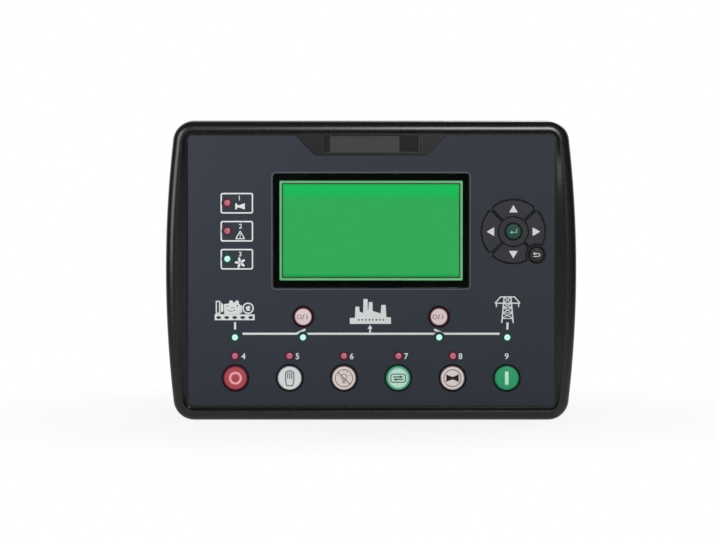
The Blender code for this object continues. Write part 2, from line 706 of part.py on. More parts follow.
def overlay():
    w, h = OVERLAY_WIDTH / 2.0, OVERLAY_HEIGHT / 2.0
    outline = [(-w, -h), (w, -h), (w, h)] + notch_outline()[::-1] + [(-w, h)]
    holes = [circle(x, z, r + KEY_RING, KEY_STEPS) for _, x, z, r in round_keys()[:-2]]
    holes += [circle(x, z, PIN_RADIUS + GAP, PIN_STEPS) for x, z in light_places()]
    holes.append(pad_opening(PAD_RING + GAP))
    holes.append(rounded_rectangle(0, WINDOW_Z, WINDOW_WIDTH + 2.0 * GAP,
                                   WINDOW_HEIGHT + 2.0 * GAP, WINDOW_CORNER + GAP))
    film = plate("overlay", [rounded(outline, OVERLAY_CORNER)] + holes,
                 OVERLAY_FRONT, OVERLAY_BACK, PARTS)
    paint(film, "slate overlay", (0.048, 0.056, 0.072), 0.5)


def nameplate():
    left = PLATE_INSET - POCKET_WIDTH / 2.0
    front = OVERLAY_FRONT + POCKET_DEPTH - GAP - PLATE_THICKNESS
    outline = rectangle(left + PLATE_WIDTH / 2.0, POCKET_TOP - POCKET_HEIGHT / 2.0,
                        PLATE_WIDTH, POCKET_HEIGHT - 2.0 * GAP)
    tag = plate("nameplate", [outline], front, front + PLATE_THICKNESS, PARTS)
    paint(tag, "bare plate", (0.064, 0.064, 0.066), 0.5)


# Display

def display():
    window = rounded_rectangle(0, WINDOW_Z, WINDOW_WIDTH, WINDOW_HEIGHT, WINDOW_CORNER)
    clear = plate("lcd_window", [window], OVERLAY_FRONT, WINDOW_BACK, PARTS, 0.0, WINDOW_Z)
    paint(clear, "window", (0.01, 0.03, 0.02), 0.1)

    view_w = WINDOW_WIDTH - 2.0 * WINDOW_LEDGE
    view_h = WINDOW_HEIGHT - 2.0 * WINDOW_LEDGE
    outer = rounded_rectangle(0, WINDOW_Z, MODULE_WIDTH, MODULE_HEIGHT, 0.001, 1)
    inner_w = MODULE_WIDTH - 2.0 * MODULE_SHEET
    inner_h = MODULE_HEIGHT - 2.0 * MODULE_SHEET
    frame = plate("lcd_frame", [outer, rectangle(0, WINDOW_Z, view_w - 0.002, view_h - 0.002)],
                  MODULE_FRONT, BACKLIGHT_BACK, PARTS, 0.0, WINDOW_Z)
    cut(frame, plate("frame_hollow", [rectangle(0, WINDOW_Z, inner_w, inner_h)],
                     MODULE_FRONT + MODULE_SHEET, BACKLIGHT_BACK + JOIN, PARTS))
    paint(frame, "sheet steel", (0.45, 0.46, 0.47), 0.35, 1.0)

    inside = rectangle(0, WINDOW_Z, inner_w - 2.0 * GAP, inner_h - 2.0 * GAP)
    glass = plate("lcd_glass", [inside], GLASS_FRONT, GLASS_BACK, PARTS, 0.0, WINDOW_Z)
    paint(glass, "display glass", (0.03, 0.42, 0.10), 0.15)
    light = plate("lcd_backlight", [inside], BACKLIGHT_FRONT, BACKLIGHT_BACK, PARTS, 0.0, WINDOW_Z)
    paint(light, "diffuser", (0.75, 0.78, 0.76), 0.5)
    board = plate("lcd_board", [rectangle(0, WINDOW_Z, MODULE_WIDTH, MODULE_HEIGHT)],
                  LCD_BOARD_FRONT, LCD_BOARD_BACK, PARTS, 0.0, WINDOW_Z)
    paint(board, "board green", (0.02, 0.12, 0.05), 0.5)


# Keys

def key_profile(radius):
    lip = radius + KEY_LIP
    return [(0.0, KEY_FRONT), (radius - KEY_CHAMFER, KEY_FRONT + KEY_DOME),
            (radius, KEY_FRONT + KEY_DOME + KEY_CHAMFER), (radius, LIP_FRONT),
            (lip, LIP_FRONT), (lip, LIP_BACK), (PLUNGER_RADIUS, LIP_BACK),
            (PLUNGER_RADIUS, PLUNGER_END), (0.0, PLUNGER_END)]


KEY_COLOURS = {
    "stop_key": (0.55, 0.09, 0.12), "manual_key": (0.85, 0.80, 0.79),
    "test_key": (0.84, 0.77, 0.74), "auto_key": (0.40, 0.86, 0.60),
    "mute_key": (0.86, 0.74, 0.74), "start_key": (0.03, 0.42, 0.18),
    "generator_breaker_key": (0.86, 0.73, 0.73), "mains_breaker_key": (0.86, 0.73, 0.73),
    "enter_key": (0.020, 0.085, 0.062), "escape_key": (0.033, 0.033, 0.036),
}


def keys():
    for name, x, z, radius in round_keys():
        key = turned(name, key_profile(radius), x, z, PARTS)
        paint(key, name.replace("_", " "), KEY_COLOURS[name], 0.45)
    for name, facing in PAD_KEYS:
        pad_key(name, facing)


def pad_key(name, facing):
    x = PAD_X + PAD_PLUNGER * cos(radians(facing))
    z = PAD_Z + PAD_PLUNGER * sin(radians(facing))
    keep_out = ESCAPE_KEY_RADIUS + 2.0 * GAP + ESCAPE_WEB
    cap = pad_sector(facing, PAD_SLIT, PAD_INNER, PAD_OUTER, keep_out)
    key = plate(name, [cap], KEY_FRONT, LIP_BACK - GAP, PARTS, x, z)
    soften(key, KEY_CHAMFER, 1, 60.0)
    lip_out = ESCAPE_KEY_RADIUS + KEY_LIP + GAP
    lip = pad_sector(facing, PAD_SLIT + 2.0 * GAP, PAD_INNER - KEY_LIP + GAP,
                     PAD_OUTER + KEY_LIP, lip_out)
    join(key, plate(name + "_lip", [lip], LIP_FRONT, LIP_BACK, PARTS))
    join(key, plate(name + "_plunger", [circle(x, z, PLUNGER_RADIUS, COLLAR_STEPS)],
                    LIP_FRONT + GAP, PLUNGER_END, PARTS))
    paint(key, name.replace("_", " "), (0.045, 0.043, 0.063), 0.5)


def keypad_mat():
    """Silicone mat with a collar round each plunger and a window for the display."""
    stems = [(x, z) for _, x, z, _ in round_keys()]
    for _, facing in PAD_KEYS:
        a = radians(facing)
        stems.append((PAD_X + PAD_PLUNGER * cos(a), PAD_Z + PAD_PLUNGER * sin(a)))
    mat = plate("keypad_mat", [rectangle(0, 0, MAT_WIDTH, MAT_HEIGHT)], MAT_FRONT, MAT_BACK, PARTS)
    join(mat, plate("mat_collars", [circle(x, z, COLLAR_RADIUS, COLLAR_STEPS) for x, z in stems],
                    COLLAR_FRONT, MAT_BACK - GAP, PARTS))
    holes = [circle(x, z, PLUNGER_RADIUS + GAP, COLLAR_STEPS) for x, z in stems]
    holes += [circle(x, z, PIN_RADIUS + GAP, PIN_STEPS) for x, z in light_places()]
    holes.append(rectangle(0, WINDOW_Z, MODULE_WIDTH + 2.0 * GAP, MODULE_HEIGHT + 2.0 * GAP))
    corner_w = MAT_WIDTH + 2.0 * (BOSS_RADIUS + MAT_CLEARANCE - TUBE_X)
    corner_h = MAT_HEIGHT + 2.0 * (BOSS_RADIUS + MAT_CLEARANCE - TUBE_Z)
    holes += [rectangle(sx * MAT_WIDTH / 2.0, sz * MAT_HEIGHT / 2.0, corner_w, corner_h)
              for sx in (-1.0, 1.0) for sz in (-1.0, 1.0)]
    cut(mat, plate("mat_holes", holes, COLLAR_FRONT - JOIN, MAT_BACK + JOIN, PARTS))
    paint(mat, "silicone", (0.30, 0.30, 0.31), 0.7)


# Lights

def light_guide(name, places):
    """One clear moulding: a pin for each light, carried by a bar behind the bezel floor."""
    xs = [x for x, _ in places]
    zs = [z for _, z in places]
    mid_x, mid_z = (min(xs) + max(xs)) / 2.0, (min(zs) + max(zs)) / 2.0
    spine = rectangle(mid_x, mid_z, max(xs) - min(xs) + GUIDE_BAR, max(zs) - min(zs) + GUIDE_BAR)
    guide = plate(name, [spine], LIP_FRONT, LIP_FRONT + GUIDE_BAR_THICKNESS, PARTS, mid_x, mid_z)
    pins = [circle(x, z, PIN_RADIUS, PIN_STEPS) for x, z in places]
    join(guide, plate(name + "_pins", pins, OVERLAY_FRONT,
                      BOARD_FRONT - LIGHT_CHIP_HEIGHT - GAP, PARTS))
    paint(guide, name.replace("_", " "), (0.75, 0.92, 0.86), 0.2)


def light_guides():
    light_guide("status_light_guide", status_lights())
    light_guide("mimic_light_guide", mimic_lights())
    light_guide("mode_light_guide", mode_lights())


# Boards and what they carry

def board_outline():
    return rounded_rectangle(0, 0, BOARD_WIDTH, BOARD_HEIGHT, BOARD_CORNER, 2)


def boards():
    holes = [circle(x, z, SCREW_RADIUS + GAP, HOLE_STEPS) for x, z in tube_places()]
    front = plate("display_board", [board_outline()] + holes, BOARD_FRONT, BOARD_BACK, PARTS)
    chips = [rectangle(x, z, LIGHT_CHIP, LIGHT_CHIP) for x, z in light_places()]
    join(front, plate("light_chips", chips, BOARD_FRONT - LIGHT_CHIP_HEIGHT,
                      BOARD_FRONT + JOIN, PARTS))
    paint(front, "display board", (0.02, 0.12, 0.05), 0.5)

    necks = [circle(x, z, TUBE_NECK_RADIUS + GAP, SCREW_STEPS) for x, z in tube_places()]
    main = plate("main_board", [board_outline()] + necks, MAIN_BOARD_DEPTH,
                 MAIN_BOARD_BACK, PARTS)
    paint(main, "main board", (0.02, 0.12, 0.05), 0.5)

    link = box("board_link", (-LINK_WIDTH / 2.0, BOARD_BACK + GAP, LINK_Z - LINK_HEIGHT / 2.0),
               (LINK_WIDTH / 2.0, MAIN_BOARD_DEPTH - GAP, LINK_Z + LINK_HEIGHT / 2.0), PARTS)
    paint(link, "connector black", (0.02, 0.02, 0.02), 0.5)


def on_main_board(name, x, z, size):
    """A box-shaped piece of (width, height, depth) standing on the main board."""
    w, h, d = size
    low = (x - w / 2.0, MAIN_BOARD_BACK + GAP, z - h / 2.0)
    high = (x + w / 2.0, MAIN_BOARD_BACK + GAP + d, z + h / 2.0)
    piece = box(name, low, high, PARTS)
    soften(piece, 0.0006, 1)
    return piece


def board_pieces():
    for i in range(2):
        x = HOUSING_WIDTH / 2.0 - RELAY_FROM_SIDE + i * RELAY_PITCH
        relay = on_main_board(f"relay_{i + 1}", x, RELAY_Z, RELAY_SIZE)
        paint(relay, f"relay case {i + 1}", (0.03, 0.03, 0.035), 0.4)
    for i in range(3):
        name = f"current_transformer_{i + 1}"
        x = TRANSFORMER_FROM_SIDE - HOUSING_WIDTH / 2.0 + i * TRANSFORMER_PITCH
        core = on_main_board(name, x, 0.0, TRANSFORMER_SIZE)
        paint(core, f"transformer case {i + 1}", (0.04, 0.06, 0.16), 0.45)
    back = MAIN_BOARD_BACK + GAP
    cell = turned("clock_battery", [(0.0, back), (BATTERY_RADIUS, back),
                                    (BATTERY_RADIUS, back + BATTERY_THICKNESS),
                                    (0.0, back + BATTERY_THICKNESS)],
                  BATTERY_X, BATTERY_Z, PARTS)
    paint(cell, "battery steel", (0.6, 0.6, 0.6), 0.3, 1.0)


# Rear housing

def stepped_block(name, inset, front):
    """The housing's outer form, or its hollow: shelves above and below a deeper middle."""
    rear = HOUSING_DEPTH - inset
    outline = rounded_rectangle(0, 0, HOUSING_WIDTH - 2.0 * inset, HOUSING_HEIGHT - 2.0 * inset,
                                HOUSING_CORNER - inset, 4)
    block = plate(name, [outline], front, rear, PARTS)
    hump = HUMP_HEIGHT / 2.0 - inset
    shelf = SHELF_DEPTH - inset
    for end, side in (("upper", 1.0), ("lower", -1.0)):
        low, high = sorted((side * hump, side * HOUSING_HEIGHT))
        cut(block, box(f"{name}_{end}_step", (-HOUSING_WIDTH, shelf, low),
                       (HOUSING_WIDTH, rear + JOIN, high), PARTS))
    return block


def header_width(ways, pitch):
    return ways * pitch + 2.0 * (HEADER_WALL + GAP)


def terminal_places():
    """Name, x, z, ways and pitch of the four terminal blocks, each beside a screw tube."""
    places = []
    for name, sx, sz, ways, pitch in (
            ("mains_terminal", -1.0, 1.0, POWER_WAYS, POWER_PITCH),
            ("generator_terminal", 1.0, 1.0, POWER_WAYS, POWER_PITCH),
            ("input_terminal", -1.0, -1.0, SIGNAL_WAYS, SIGNAL_PITCH),
            ("output_terminal", 1.0, -1.0, SIGNAL_WAYS, SIGNAL_PITCH)):
        end = TUBE_X - TUBE_RADIUS - TERMINAL_FROM_TUBE
        x = end - header_width(ways, pitch) / 2.0
        places.append((name, sx * x, sz * TERMINAL_Z, ways, pitch))
    return places


def clip_places():
    return [(sx, sz) for sx in (-1.0, 1.0) for sz in (-1.0, 1.0)]


def rear_housing():
    half = HOUSING_WIDTH / 2.0
    housing = stepped_block("rear_housing", 0.0, HOUSING_FRONT)
    soften(housing, HOUSING_EDGE, 2)
    inner = half - HOUSING_WALL
    cut(housing, stepped_block("housing_hollow", HOUSING_WALL, HOUSING_FRONT - JOIN))
    for i, (x, z) in enumerate(tube_places()):
        profile = [(0.0, BOARD_BACK + GAP), (TUBE_NECK_RADIUS, BOARD_BACK + GAP),
                   (TUBE_NECK_RADIUS, MAIN_BOARD_BACK + GAP),
                   (TUBE_RADIUS, MAIN_BOARD_BACK + GAP),
                   (TUBE_RADIUS, SHELF_DEPTH - JOIN), (0.0, SHELF_DEPTH - JOIN)]
        join(housing, turned(f"screw_tube_{i + 1}", profile, x, z, PARTS, SCREW_STEPS))
    through = [circle(x, z, SCREW_RADIUS + GAP, HOLE_STEPS) for x, z in tube_places()]
    cut(housing, plate("tube_bores", through, BOARD_BACK - JOIN, SHELF_DEPTH, PARTS))
    sinks = [circle(x, z, SCREW_HEAD_RADIUS + 2.0 * GAP, SCREW_STEPS) for x, z in tube_places()]
    cut(housing, plate("screw_sinks", sinks, SHELF_DEPTH - SCREW_SINK, SHELF_DEPTH + JOIN, PARTS))
    openings = [rectangle(x, z, header_width(ways, pitch) + 2.0 * GAP, HEADER_HEIGHT + 2.0 * GAP)
                for _, x, z, ways, pitch in terminal_places()]
    cut(housing, plate("terminal_openings", openings, SHELF_DEPTH - 2.0 * HOUSING_WALL,
                       SHELF_DEPTH + JOIN, PARTS))
    vents = []
    for column in range(VENT_COLUMNS):
        x = (column - (VENT_COLUMNS - 1) / 2.0) * VENT_PITCH
        for z in (-HUMP_HEIGHT / 4.0, HUMP_HEIGHT / 4.0):
            vents.append(rectangle(x, z, VENT_WIDTH, HUMP_HEIGHT / 2.0 - 2.0 * VENT_MARGIN))
    cut(housing, plate("vents", vents, HOUSING_DEPTH - 2.0 * HOUSING_WALL,
                       HOUSING_DEPTH + JOIN, PARTS))
    socket_y = MAIN_BOARD_BACK + GAP + SOCKET_HEIGHT / 2.0
    mouth = rectangle(socket_y, 0.0, SOCKET_HEIGHT + 2.0 * GAP, SOCKET_WIDTH + 2.0 * GAP)
    cut(housing, bar("socket_opening", [mouth], inner - JOIN, half + JOIN, PARTS))
    slot_front, slot_rear = clip_slot()
    for i, (sx, sz) in enumerate(clip_places()):
        low = slot_front - GAP
        outline = [(low, sz * CLIP_Z - CLIP_TONGUE / 2.0 - GAP),
                   (slot_rear, sz * CLIP_Z - CLIP_TONGUE / 2.0 - GAP),
                   (slot_rear, sz * CLIP_Z + CLIP_TONGUE / 2.0 + GAP),
                   (low, sz * CLIP_Z + CLIP_TONGUE / 2.0 + GAP)]
        left, right = sorted((sx * (inner - JOIN), sx * (half + JOIN)))
        cut(housing, bar(f"clip_slot_{i + 1}", [outline], left, right, PARTS))
    paint(housing, "housing plastic", (0.025, 0.025, 0.027), 0.55)


def terminals():
    for name, x, z, ways, pitch in terminal_places():
        width = header_width(ways, pitch)
        front = MAIN_BOARD_BACK + GAP
        header = plate(name + "_header", [rectangle(x, z, width, HEADER_HEIGHT)],
                       front, HEADER_REAR, PARTS, x, z)
        well = rectangle(x, z, width - 2.0 * HEADER_WALL, HEADER_HEIGHT - 2.0 * HEADER_WALL)
        cut(header, plate(name + "_well", [well], HEADER_REAR - HEADER_POCKET,
                          HEADER_REAR + JOIN, PARTS))
        paint(header, name + " header", (0.05, 0.16, 0.08), 0.5)

        inner_w = ways * pitch
        plug = plate(name + "_plug", [rectangle(x, z, inner_w, PLUG_HEIGHT)],
                     HEADER_REAR + GAP, PLUG_REAR, PARTS, x, z)
        nose = rectangle(x, z, inner_w, HEADER_HEIGHT - 2.0 * HEADER_WALL - 2.0 * GAP)
        join(plug, plate(name + "_nose", [nose], HEADER_REAR - HEADER_POCKET + GAP,
                         HEADER_REAR + 2.0 * GAP + JOIN, PARTS))
        entries = []
        for i in range(ways):
            entries.append(rectangle(x + (i - (ways - 1) / 2.0) * pitch, z,
                                     WIRE_ENTRY, WIRE_ENTRY))
        cut(plug, plate(name + "_entries", entries, PLUG_REAR - WIRE_ENTRY_DEPTH,
                        PLUG_REAR + JOIN, PARTS))
        paint(plug, name + " plug", (0.06, 0.26, 0.10), 0.5)


def usb_socket():
    right = HOUSING_WIDTH / 2.0 - GAP
    y = MAIN_BOARD_BACK + GAP + SOCKET_HEIGHT / 2.0
    socket = bar("usb_socket", [rectangle(y, 0.0, SOCKET_HEIGHT, SOCKET_WIDTH)],
                 right - SOCKET_LENGTH, right, PARTS)
    well = [rectangle(y, 0.0, SOCKET_HEIGHT - 2.0 * SOCKET_WALL, SOCKET_WIDTH - 2.0 * SOCKET_WALL),
            rectangle(y, 0.0, SOCKET_TONGUE, SOCKET_WIDTH / 2.0)]
    cut(socket, bar("socket_well", well, right - SOCKET_POCKET, right + JOIN, PARTS))
    paint(socket, "socket shell", (0.55, 0.55, 0.56), 0.3, 1.0)


# Fixing hardware

def clip_slot():
    """Front and rear of the slot that takes a clip's lip, which then slides forward."""
    front = CLIP_FRONT + CLIP_TONGUE_THICKNESS
    length = CLIP_TONGUE_THICKNESS + CLIP_LIP_REACH + 2.0 * GAP
    return front, front + length


def slotted(screw, x, z, head_radius, rear):
    slot = box(screw.name + "_slot", (x - head_radius - JOIN, rear - DRIVE_SLOT, z - DRIVE_SLOT / 2.0),
               (x + head_radius + JOIN, rear + JOIN, z + DRIVE_SLOT / 2.0), PARTS)
    cut(screw, slot)


def fixing_clips():
    wall = HOUSING_WIDTH / 2.0
    tongue_front, _ = clip_slot()
    tongue_rear = tongue_front + CLIP_TONGUE_THICKNESS
    for i, (sx, sz) in enumerate(clip_places()):
        z = sz * CLIP_Z
        near, far = wall + GAP, wall + GAP + CLIP_THICKNESS
        x = wall + CLIP_SCREW_OUT
        name = f"fixing_clip_{i + 1}"

        def span(a, b):
            return sorted((sx * a, sx * b))

        left, right = span(near, far)
        clip = box(name, (left, CLIP_FRONT, z - CLIP_WIDTH / 2.0),
                   (right, CLIP_REAR, z + CLIP_WIDTH / 2.0), PARTS)
        soften(clip, 0.0008, 1)
        inside = wall - HOUSING_WALL - GAP
        left, right = span(inside - CLIP_LIP_THICKNESS, near + JOIN)
        join(clip, box(name + "_tongue", (left, tongue_front, z - CLIP_TONGUE / 2.0),
                       (right, tongue_rear, z + CLIP_TONGUE / 2.0), PARTS))
        left, right = span(inside - CLIP_LIP_THICKNESS, inside)
        join(clip, box(name + "_lip", (left, tongue_front - CLIP_LIP_REACH, z - CLIP_TONGUE / 2.0),
                       (right, tongue_rear - GAP, z + CLIP_TONGUE / 2.0), PARTS))
        cut(clip, plate(name + "_bore", [circle(sx * x, z, CLIP_SCREW_RADIUS + GAP, SCREW_STEPS)],
                        CLIP_FRONT - JOIN, CLIP_REAR + JOIN, PARTS))
        paint(clip, f"clip zinc {i + 1}", (0.62, 0.62, 0.60), 0.35, 1.0)

        pad_back = CLIP_SCREW_FRONT + CLIP_PAD_THICKNESS
        head = CLIP_SCREW_REAR - SCREW_HEAD_HEIGHT
        profile = [(0.0, CLIP_SCREW_FRONT), (CLIP_PAD_RADIUS, CLIP_SCREW_FRONT),
                   (CLIP_PAD_RADIUS, pad_back), (CLIP_SCREW_RADIUS, pad_back),
                   (CLIP_SCREW_RADIUS, head), (CLIP_PAD_RADIUS, head),
                   (CLIP_PAD_RADIUS, CLIP_SCREW_REAR), (0.0, CLIP_SCREW_REAR)]
        screw = turned(f"clip_screw_{i + 1}", profile, sx * x, z, PARTS, SCREW_STEPS)
        slotted(screw, sx * x, z, CLIP_PAD_RADIUS, CLIP_SCREW_REAR)
        paint(screw, f"clip screw zinc {i + 1}", (0.65, 0.65, 0.63), 0.3, 1.0)


def case_screws():
    seat = SHELF_DEPTH - SCREW_SINK + GAP
    rear = seat + SCREW_HEAD_HEIGHT
    for i, (x, z) in enumerate(tube_places()):
        profile = [(0.0, SCREW_TIP_DEPTH), (SCREW_RADIUS - 0.0005, SCREW_TIP_DEPTH),
                   (SCREW_RADIUS, SCREW_TIP_DEPTH + 0.001), (SCREW_RADIUS, seat),
                   (SCREW_HEAD_RADIUS, seat), (SCREW_HEAD_RADIUS, rear), (0.0, rear)]
        screw = turned(f"case_screw_{i + 1}", profile, x, z, PARTS, SCREW_STEPS)
        slotted(screw, x, z, SCREW_HEAD_RADIUS, rear)
        paint(screw, f"screw steel {i + 1}", (0.5, 0.5, 0.5), 0.3, 1.0)


def panel_gasket():
    seal = plate("panel_gasket", seal_outlines(0.0), BEZEL_REAR - SEAL_GROOVE_DEPTH + GAP,
                 0.0, PARTS)
    paint(seal, "foam seal", (0.02, 0.02, 0.02), 0.9)


def smooth_round_pieces():
    for piece in PARTS.objects:
        piece.data.shade_smooth()
        piece.data.set_sharp_from_angle(angle=radians(35.0))


clear_scene()
PARTS = new_collection("genset_controller")
TOOLS = new_collection("cutters")
front_bezel()
overlay()
nameplate()
display()
keys()
keypad_mat()
light_guides()
boards()
board_pieces()
rear_housing()
terminals()
usb_socket()
fixing_clips()
case_screws()
panel_gasket()
smooth_round_pieces()
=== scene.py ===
# %% [markdown]
# # Dressing a genset controller
#
# A genset controller is the flat control unit in the door of a generator's cabinet.
# It has a dark moulded bezel, a slate film with printed symbols, a green display,
# round keys, a direction pad and small lights. Behind the panel it has a stepped
# case with rows of plug terminals.
#
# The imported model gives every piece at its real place. This script gives each
# surface its finish and swaps the pieces that the eye sees most for smoother ones.

# %% Load the frame
import json
from math import acos, asin, atan2, cos, degrees, hypot, pi, radians, sin, sqrt, tan

import bmesh
import bpy
from mathutils import Matrix, Vector


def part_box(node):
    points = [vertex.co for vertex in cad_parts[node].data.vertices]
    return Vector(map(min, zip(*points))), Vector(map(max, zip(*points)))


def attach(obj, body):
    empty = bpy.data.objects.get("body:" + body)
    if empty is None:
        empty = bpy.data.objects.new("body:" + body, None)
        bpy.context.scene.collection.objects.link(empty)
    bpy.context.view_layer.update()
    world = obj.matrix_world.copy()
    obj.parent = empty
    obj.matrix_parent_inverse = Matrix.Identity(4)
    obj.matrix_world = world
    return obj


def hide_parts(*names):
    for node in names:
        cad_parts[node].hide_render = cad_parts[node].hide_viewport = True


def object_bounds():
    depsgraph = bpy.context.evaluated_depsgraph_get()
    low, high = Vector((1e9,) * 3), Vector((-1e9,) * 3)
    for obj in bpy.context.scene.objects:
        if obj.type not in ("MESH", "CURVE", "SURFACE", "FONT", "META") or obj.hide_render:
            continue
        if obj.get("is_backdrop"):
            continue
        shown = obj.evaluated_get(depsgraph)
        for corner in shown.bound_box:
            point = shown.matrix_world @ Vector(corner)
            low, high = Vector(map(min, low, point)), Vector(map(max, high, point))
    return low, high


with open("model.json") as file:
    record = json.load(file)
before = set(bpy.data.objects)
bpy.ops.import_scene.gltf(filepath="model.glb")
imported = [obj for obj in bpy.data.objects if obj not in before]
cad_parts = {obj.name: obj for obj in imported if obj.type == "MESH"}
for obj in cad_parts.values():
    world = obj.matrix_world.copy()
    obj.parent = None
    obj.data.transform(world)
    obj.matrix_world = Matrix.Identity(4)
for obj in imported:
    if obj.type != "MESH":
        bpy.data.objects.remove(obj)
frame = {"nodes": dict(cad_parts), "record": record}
nodes = frame["nodes"]
cad_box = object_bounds()
MM = 0.001
print(len(nodes), "nodes, box", [[round(v / MM, 1) for v in c] for c in cad_box])

# %% [markdown]
# ## Places from the frame
#
# Nothing is measured twice: each place comes from the box of the CAD node that is
# there. A key's box includes its hidden lip, so the cap is a little smaller.

# %% Read places and sizes from the frame
def centre(name):
    low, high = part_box(name)
    return (low + high) / 2.0


def span(name):
    low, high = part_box(name)
    return high - low


KEY_LIP = 1.2 * MM              # lip beyond the cap, and its thickness
PLUNGER_RADIUS = 2.5 * MM
PAD_ARM = 13.2 * MM             # pad centre to the middle of an arrow key
CAP_CORNER, CAP_CORNER_OUTER = 0.9 * MM, 1.8 * MM
BAR_OVERHANG = 1.7 * MM         # light guide's bar beyond its outer pins
ROW_KEYS = ["stop_key", "manual_key", "test_key", "auto_key", "mute_key", "start_key"]
BREAKER_KEYS = ["generator_breaker_key", "mains_breaker_key"]
PAD_KEYS = {"right_key": 0.0, "up_key": 90.0, "left_key": 180.0, "down_key": 270.0}
FILM_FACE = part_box("overlay")[0].y
FILM_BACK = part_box("overlay")[1].y
KEY_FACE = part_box("stop_key")[0].y
pad = centre("enter_key")
escape = centre("escape_key")
row_x = [centre(name).x for name in ROW_KEYS]
print("film face at", round(FILM_FACE / MM, 2), "mm, key faces at", round(KEY_FACE / MM, 2))

# %% [markdown]
# The box of a light guide ends a little beyond its outer pins. The pins are evenly
# spaced, so the box and their number give every place. The third place of the mimic
# line has no light.

# %% Read the places of the lights
def along(name, count):
    """Places of a light guide's pins, evenly spaced along its longer side."""
    low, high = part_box(name)
    mid = (low + high) / 2.0
    upright = high.z - low.z > high.x - low.x
    reach = (high - low).z if upright else (high - low).x
    first = reach / 2.0 - BAR_OVERHANG
    steps = [first - 2.0 * first * i / (count - 1) for i in range(count)]
    if upright:
        return [(mid.x, mid.z + step) for step in steps]
    return [(mid.x - step, mid.z) for step in steps]


status_lights = along("status_light_guide", 3)
mimic_lights = [p for i, p in enumerate(along("mimic_light_guide", 5)) if i != 2]
mode_lights = along("mode_light_guide", 5)
all_lights = status_lights + mimic_lights + mode_lights
LIGHT_RADIUS = 2.0 * MM
print(len(all_lights), "lights")

# %% [markdown]
# ## Outlines
#
# Flat parts start as outlines in the X-Z plane, seen from the front. An arc needs
# only its centre, radius and number of steps, so round parts can be as fine as the
# picture needs. `rounded` swaps each sharp corner for a small arc.

# %% Outline helpers
def circle(x, z, radius, steps=72):
    turn = [2.0 * pi * i / steps for i in range(steps)]
    return [(x + radius * cos(a), z + radius * sin(a)) for a in turn]


def ellipse(x, z, wide, high, steps=28):
    turn = [2.0 * pi * i / steps for i in range(steps)]
    return [(x + wide * cos(a), z + high * sin(a)) for a in turn]


def rectangle(x, z, width, height):
    w, h = width / 2.0, height / 2.0
    return [(x - w, z - h), (x + w, z - h), (x + w, z + h), (x - w, z + h)]


def rounded(points, radius, steps=8, closed=True, larger=None):
    """Round the corners; `larger` names a radius for corners where it gives one."""
    out = []
    for i, here in enumerate(points):
        if not closed and i in (0, len(points) - 1):
            out.append(here)
            continue
        p = Vector(here)
        back = Vector(points[i - 1]) - p
        ahead = Vector(points[(i + 1) % len(points)]) - p
        opening = acos(max(-1.0, min(1.0, back.normalized().dot(ahead.normalized()))))
        if opening > radians(158):
            out.append(here)
            continue
        wanted = larger(here) if larger else radius
        reach = min(wanted / tan(opening / 2.0), 0.48 * back.length, 0.48 * ahead.length)
        size = reach * tan(opening / 2.0)
        bisector = (back.normalized() + ahead.normalized()).normalized()
        middle = p + bisector * (size / sin(opening / 2.0))
        start = p + back.normalized() * reach - middle
        end = p + ahead.normalized() * reach - middle
        first = atan2(start.y, start.x)
        swing = (atan2(end.y, end.x) - first + pi) % (2.0 * pi) - pi
        for k in range(steps + 1):
            a = first + swing * k / steps
            out.append((middle.x + size * cos(a), middle.y + size * sin(a)))
    return out


def soft_rectangle(x, z, width, height, radius, steps=8):
    return rounded(rectangle(x, z, width, height), radius, steps)


def stroke(points, width):
    """The outline of a drawn line of one width, with mitred bends."""
    left, right = [], []
    for i, here in enumerate(points):
        p = Vector(here)
        into = (p - Vector(points[i - 1])).normalized() if i else None
        out = (Vector(points[i + 1]) - p).normalized() if i < len(points) - 1 else into
        into = into or out
        side = Vector((-into.y - out.y, into.x + out.x)).normalized()
        reach = width / 2.0 / max(0.4, side.dot(Vector((-into.y, into.x))))
        left.append(tuple(p + side * reach))
        right.append(tuple(p - side * reach))
    return left + right[::-1]


# %% [markdown]
# ## Solids
#
# A Blender curve fills an outline with its holes and can round both rims with its
# bevel, which suits printed film, plates and ink. Turned pieces such as keys and
# screws come from a profile carried round an axis. Booleans cut what is left.

# %% Solid helpers
FRONT_VIEW = Matrix.Rotation(radians(90.0), 4, "X")


def show(name, data):
    made = bpy.data.objects.new(name, data)
    bpy.context.scene.collection.objects.link(made)
    return made


def shown(name, shape, outward=True):
    """An object from a bmesh, which is freed, its faces turned outward where asked."""
    if outward:
        bmesh.ops.recalc_face_normals(shape, faces=shape.faces)
    mesh = bpy.data.meshes.new(name)
    shape.to_mesh(mesh)
    shape.free()
    return show(name, mesh)


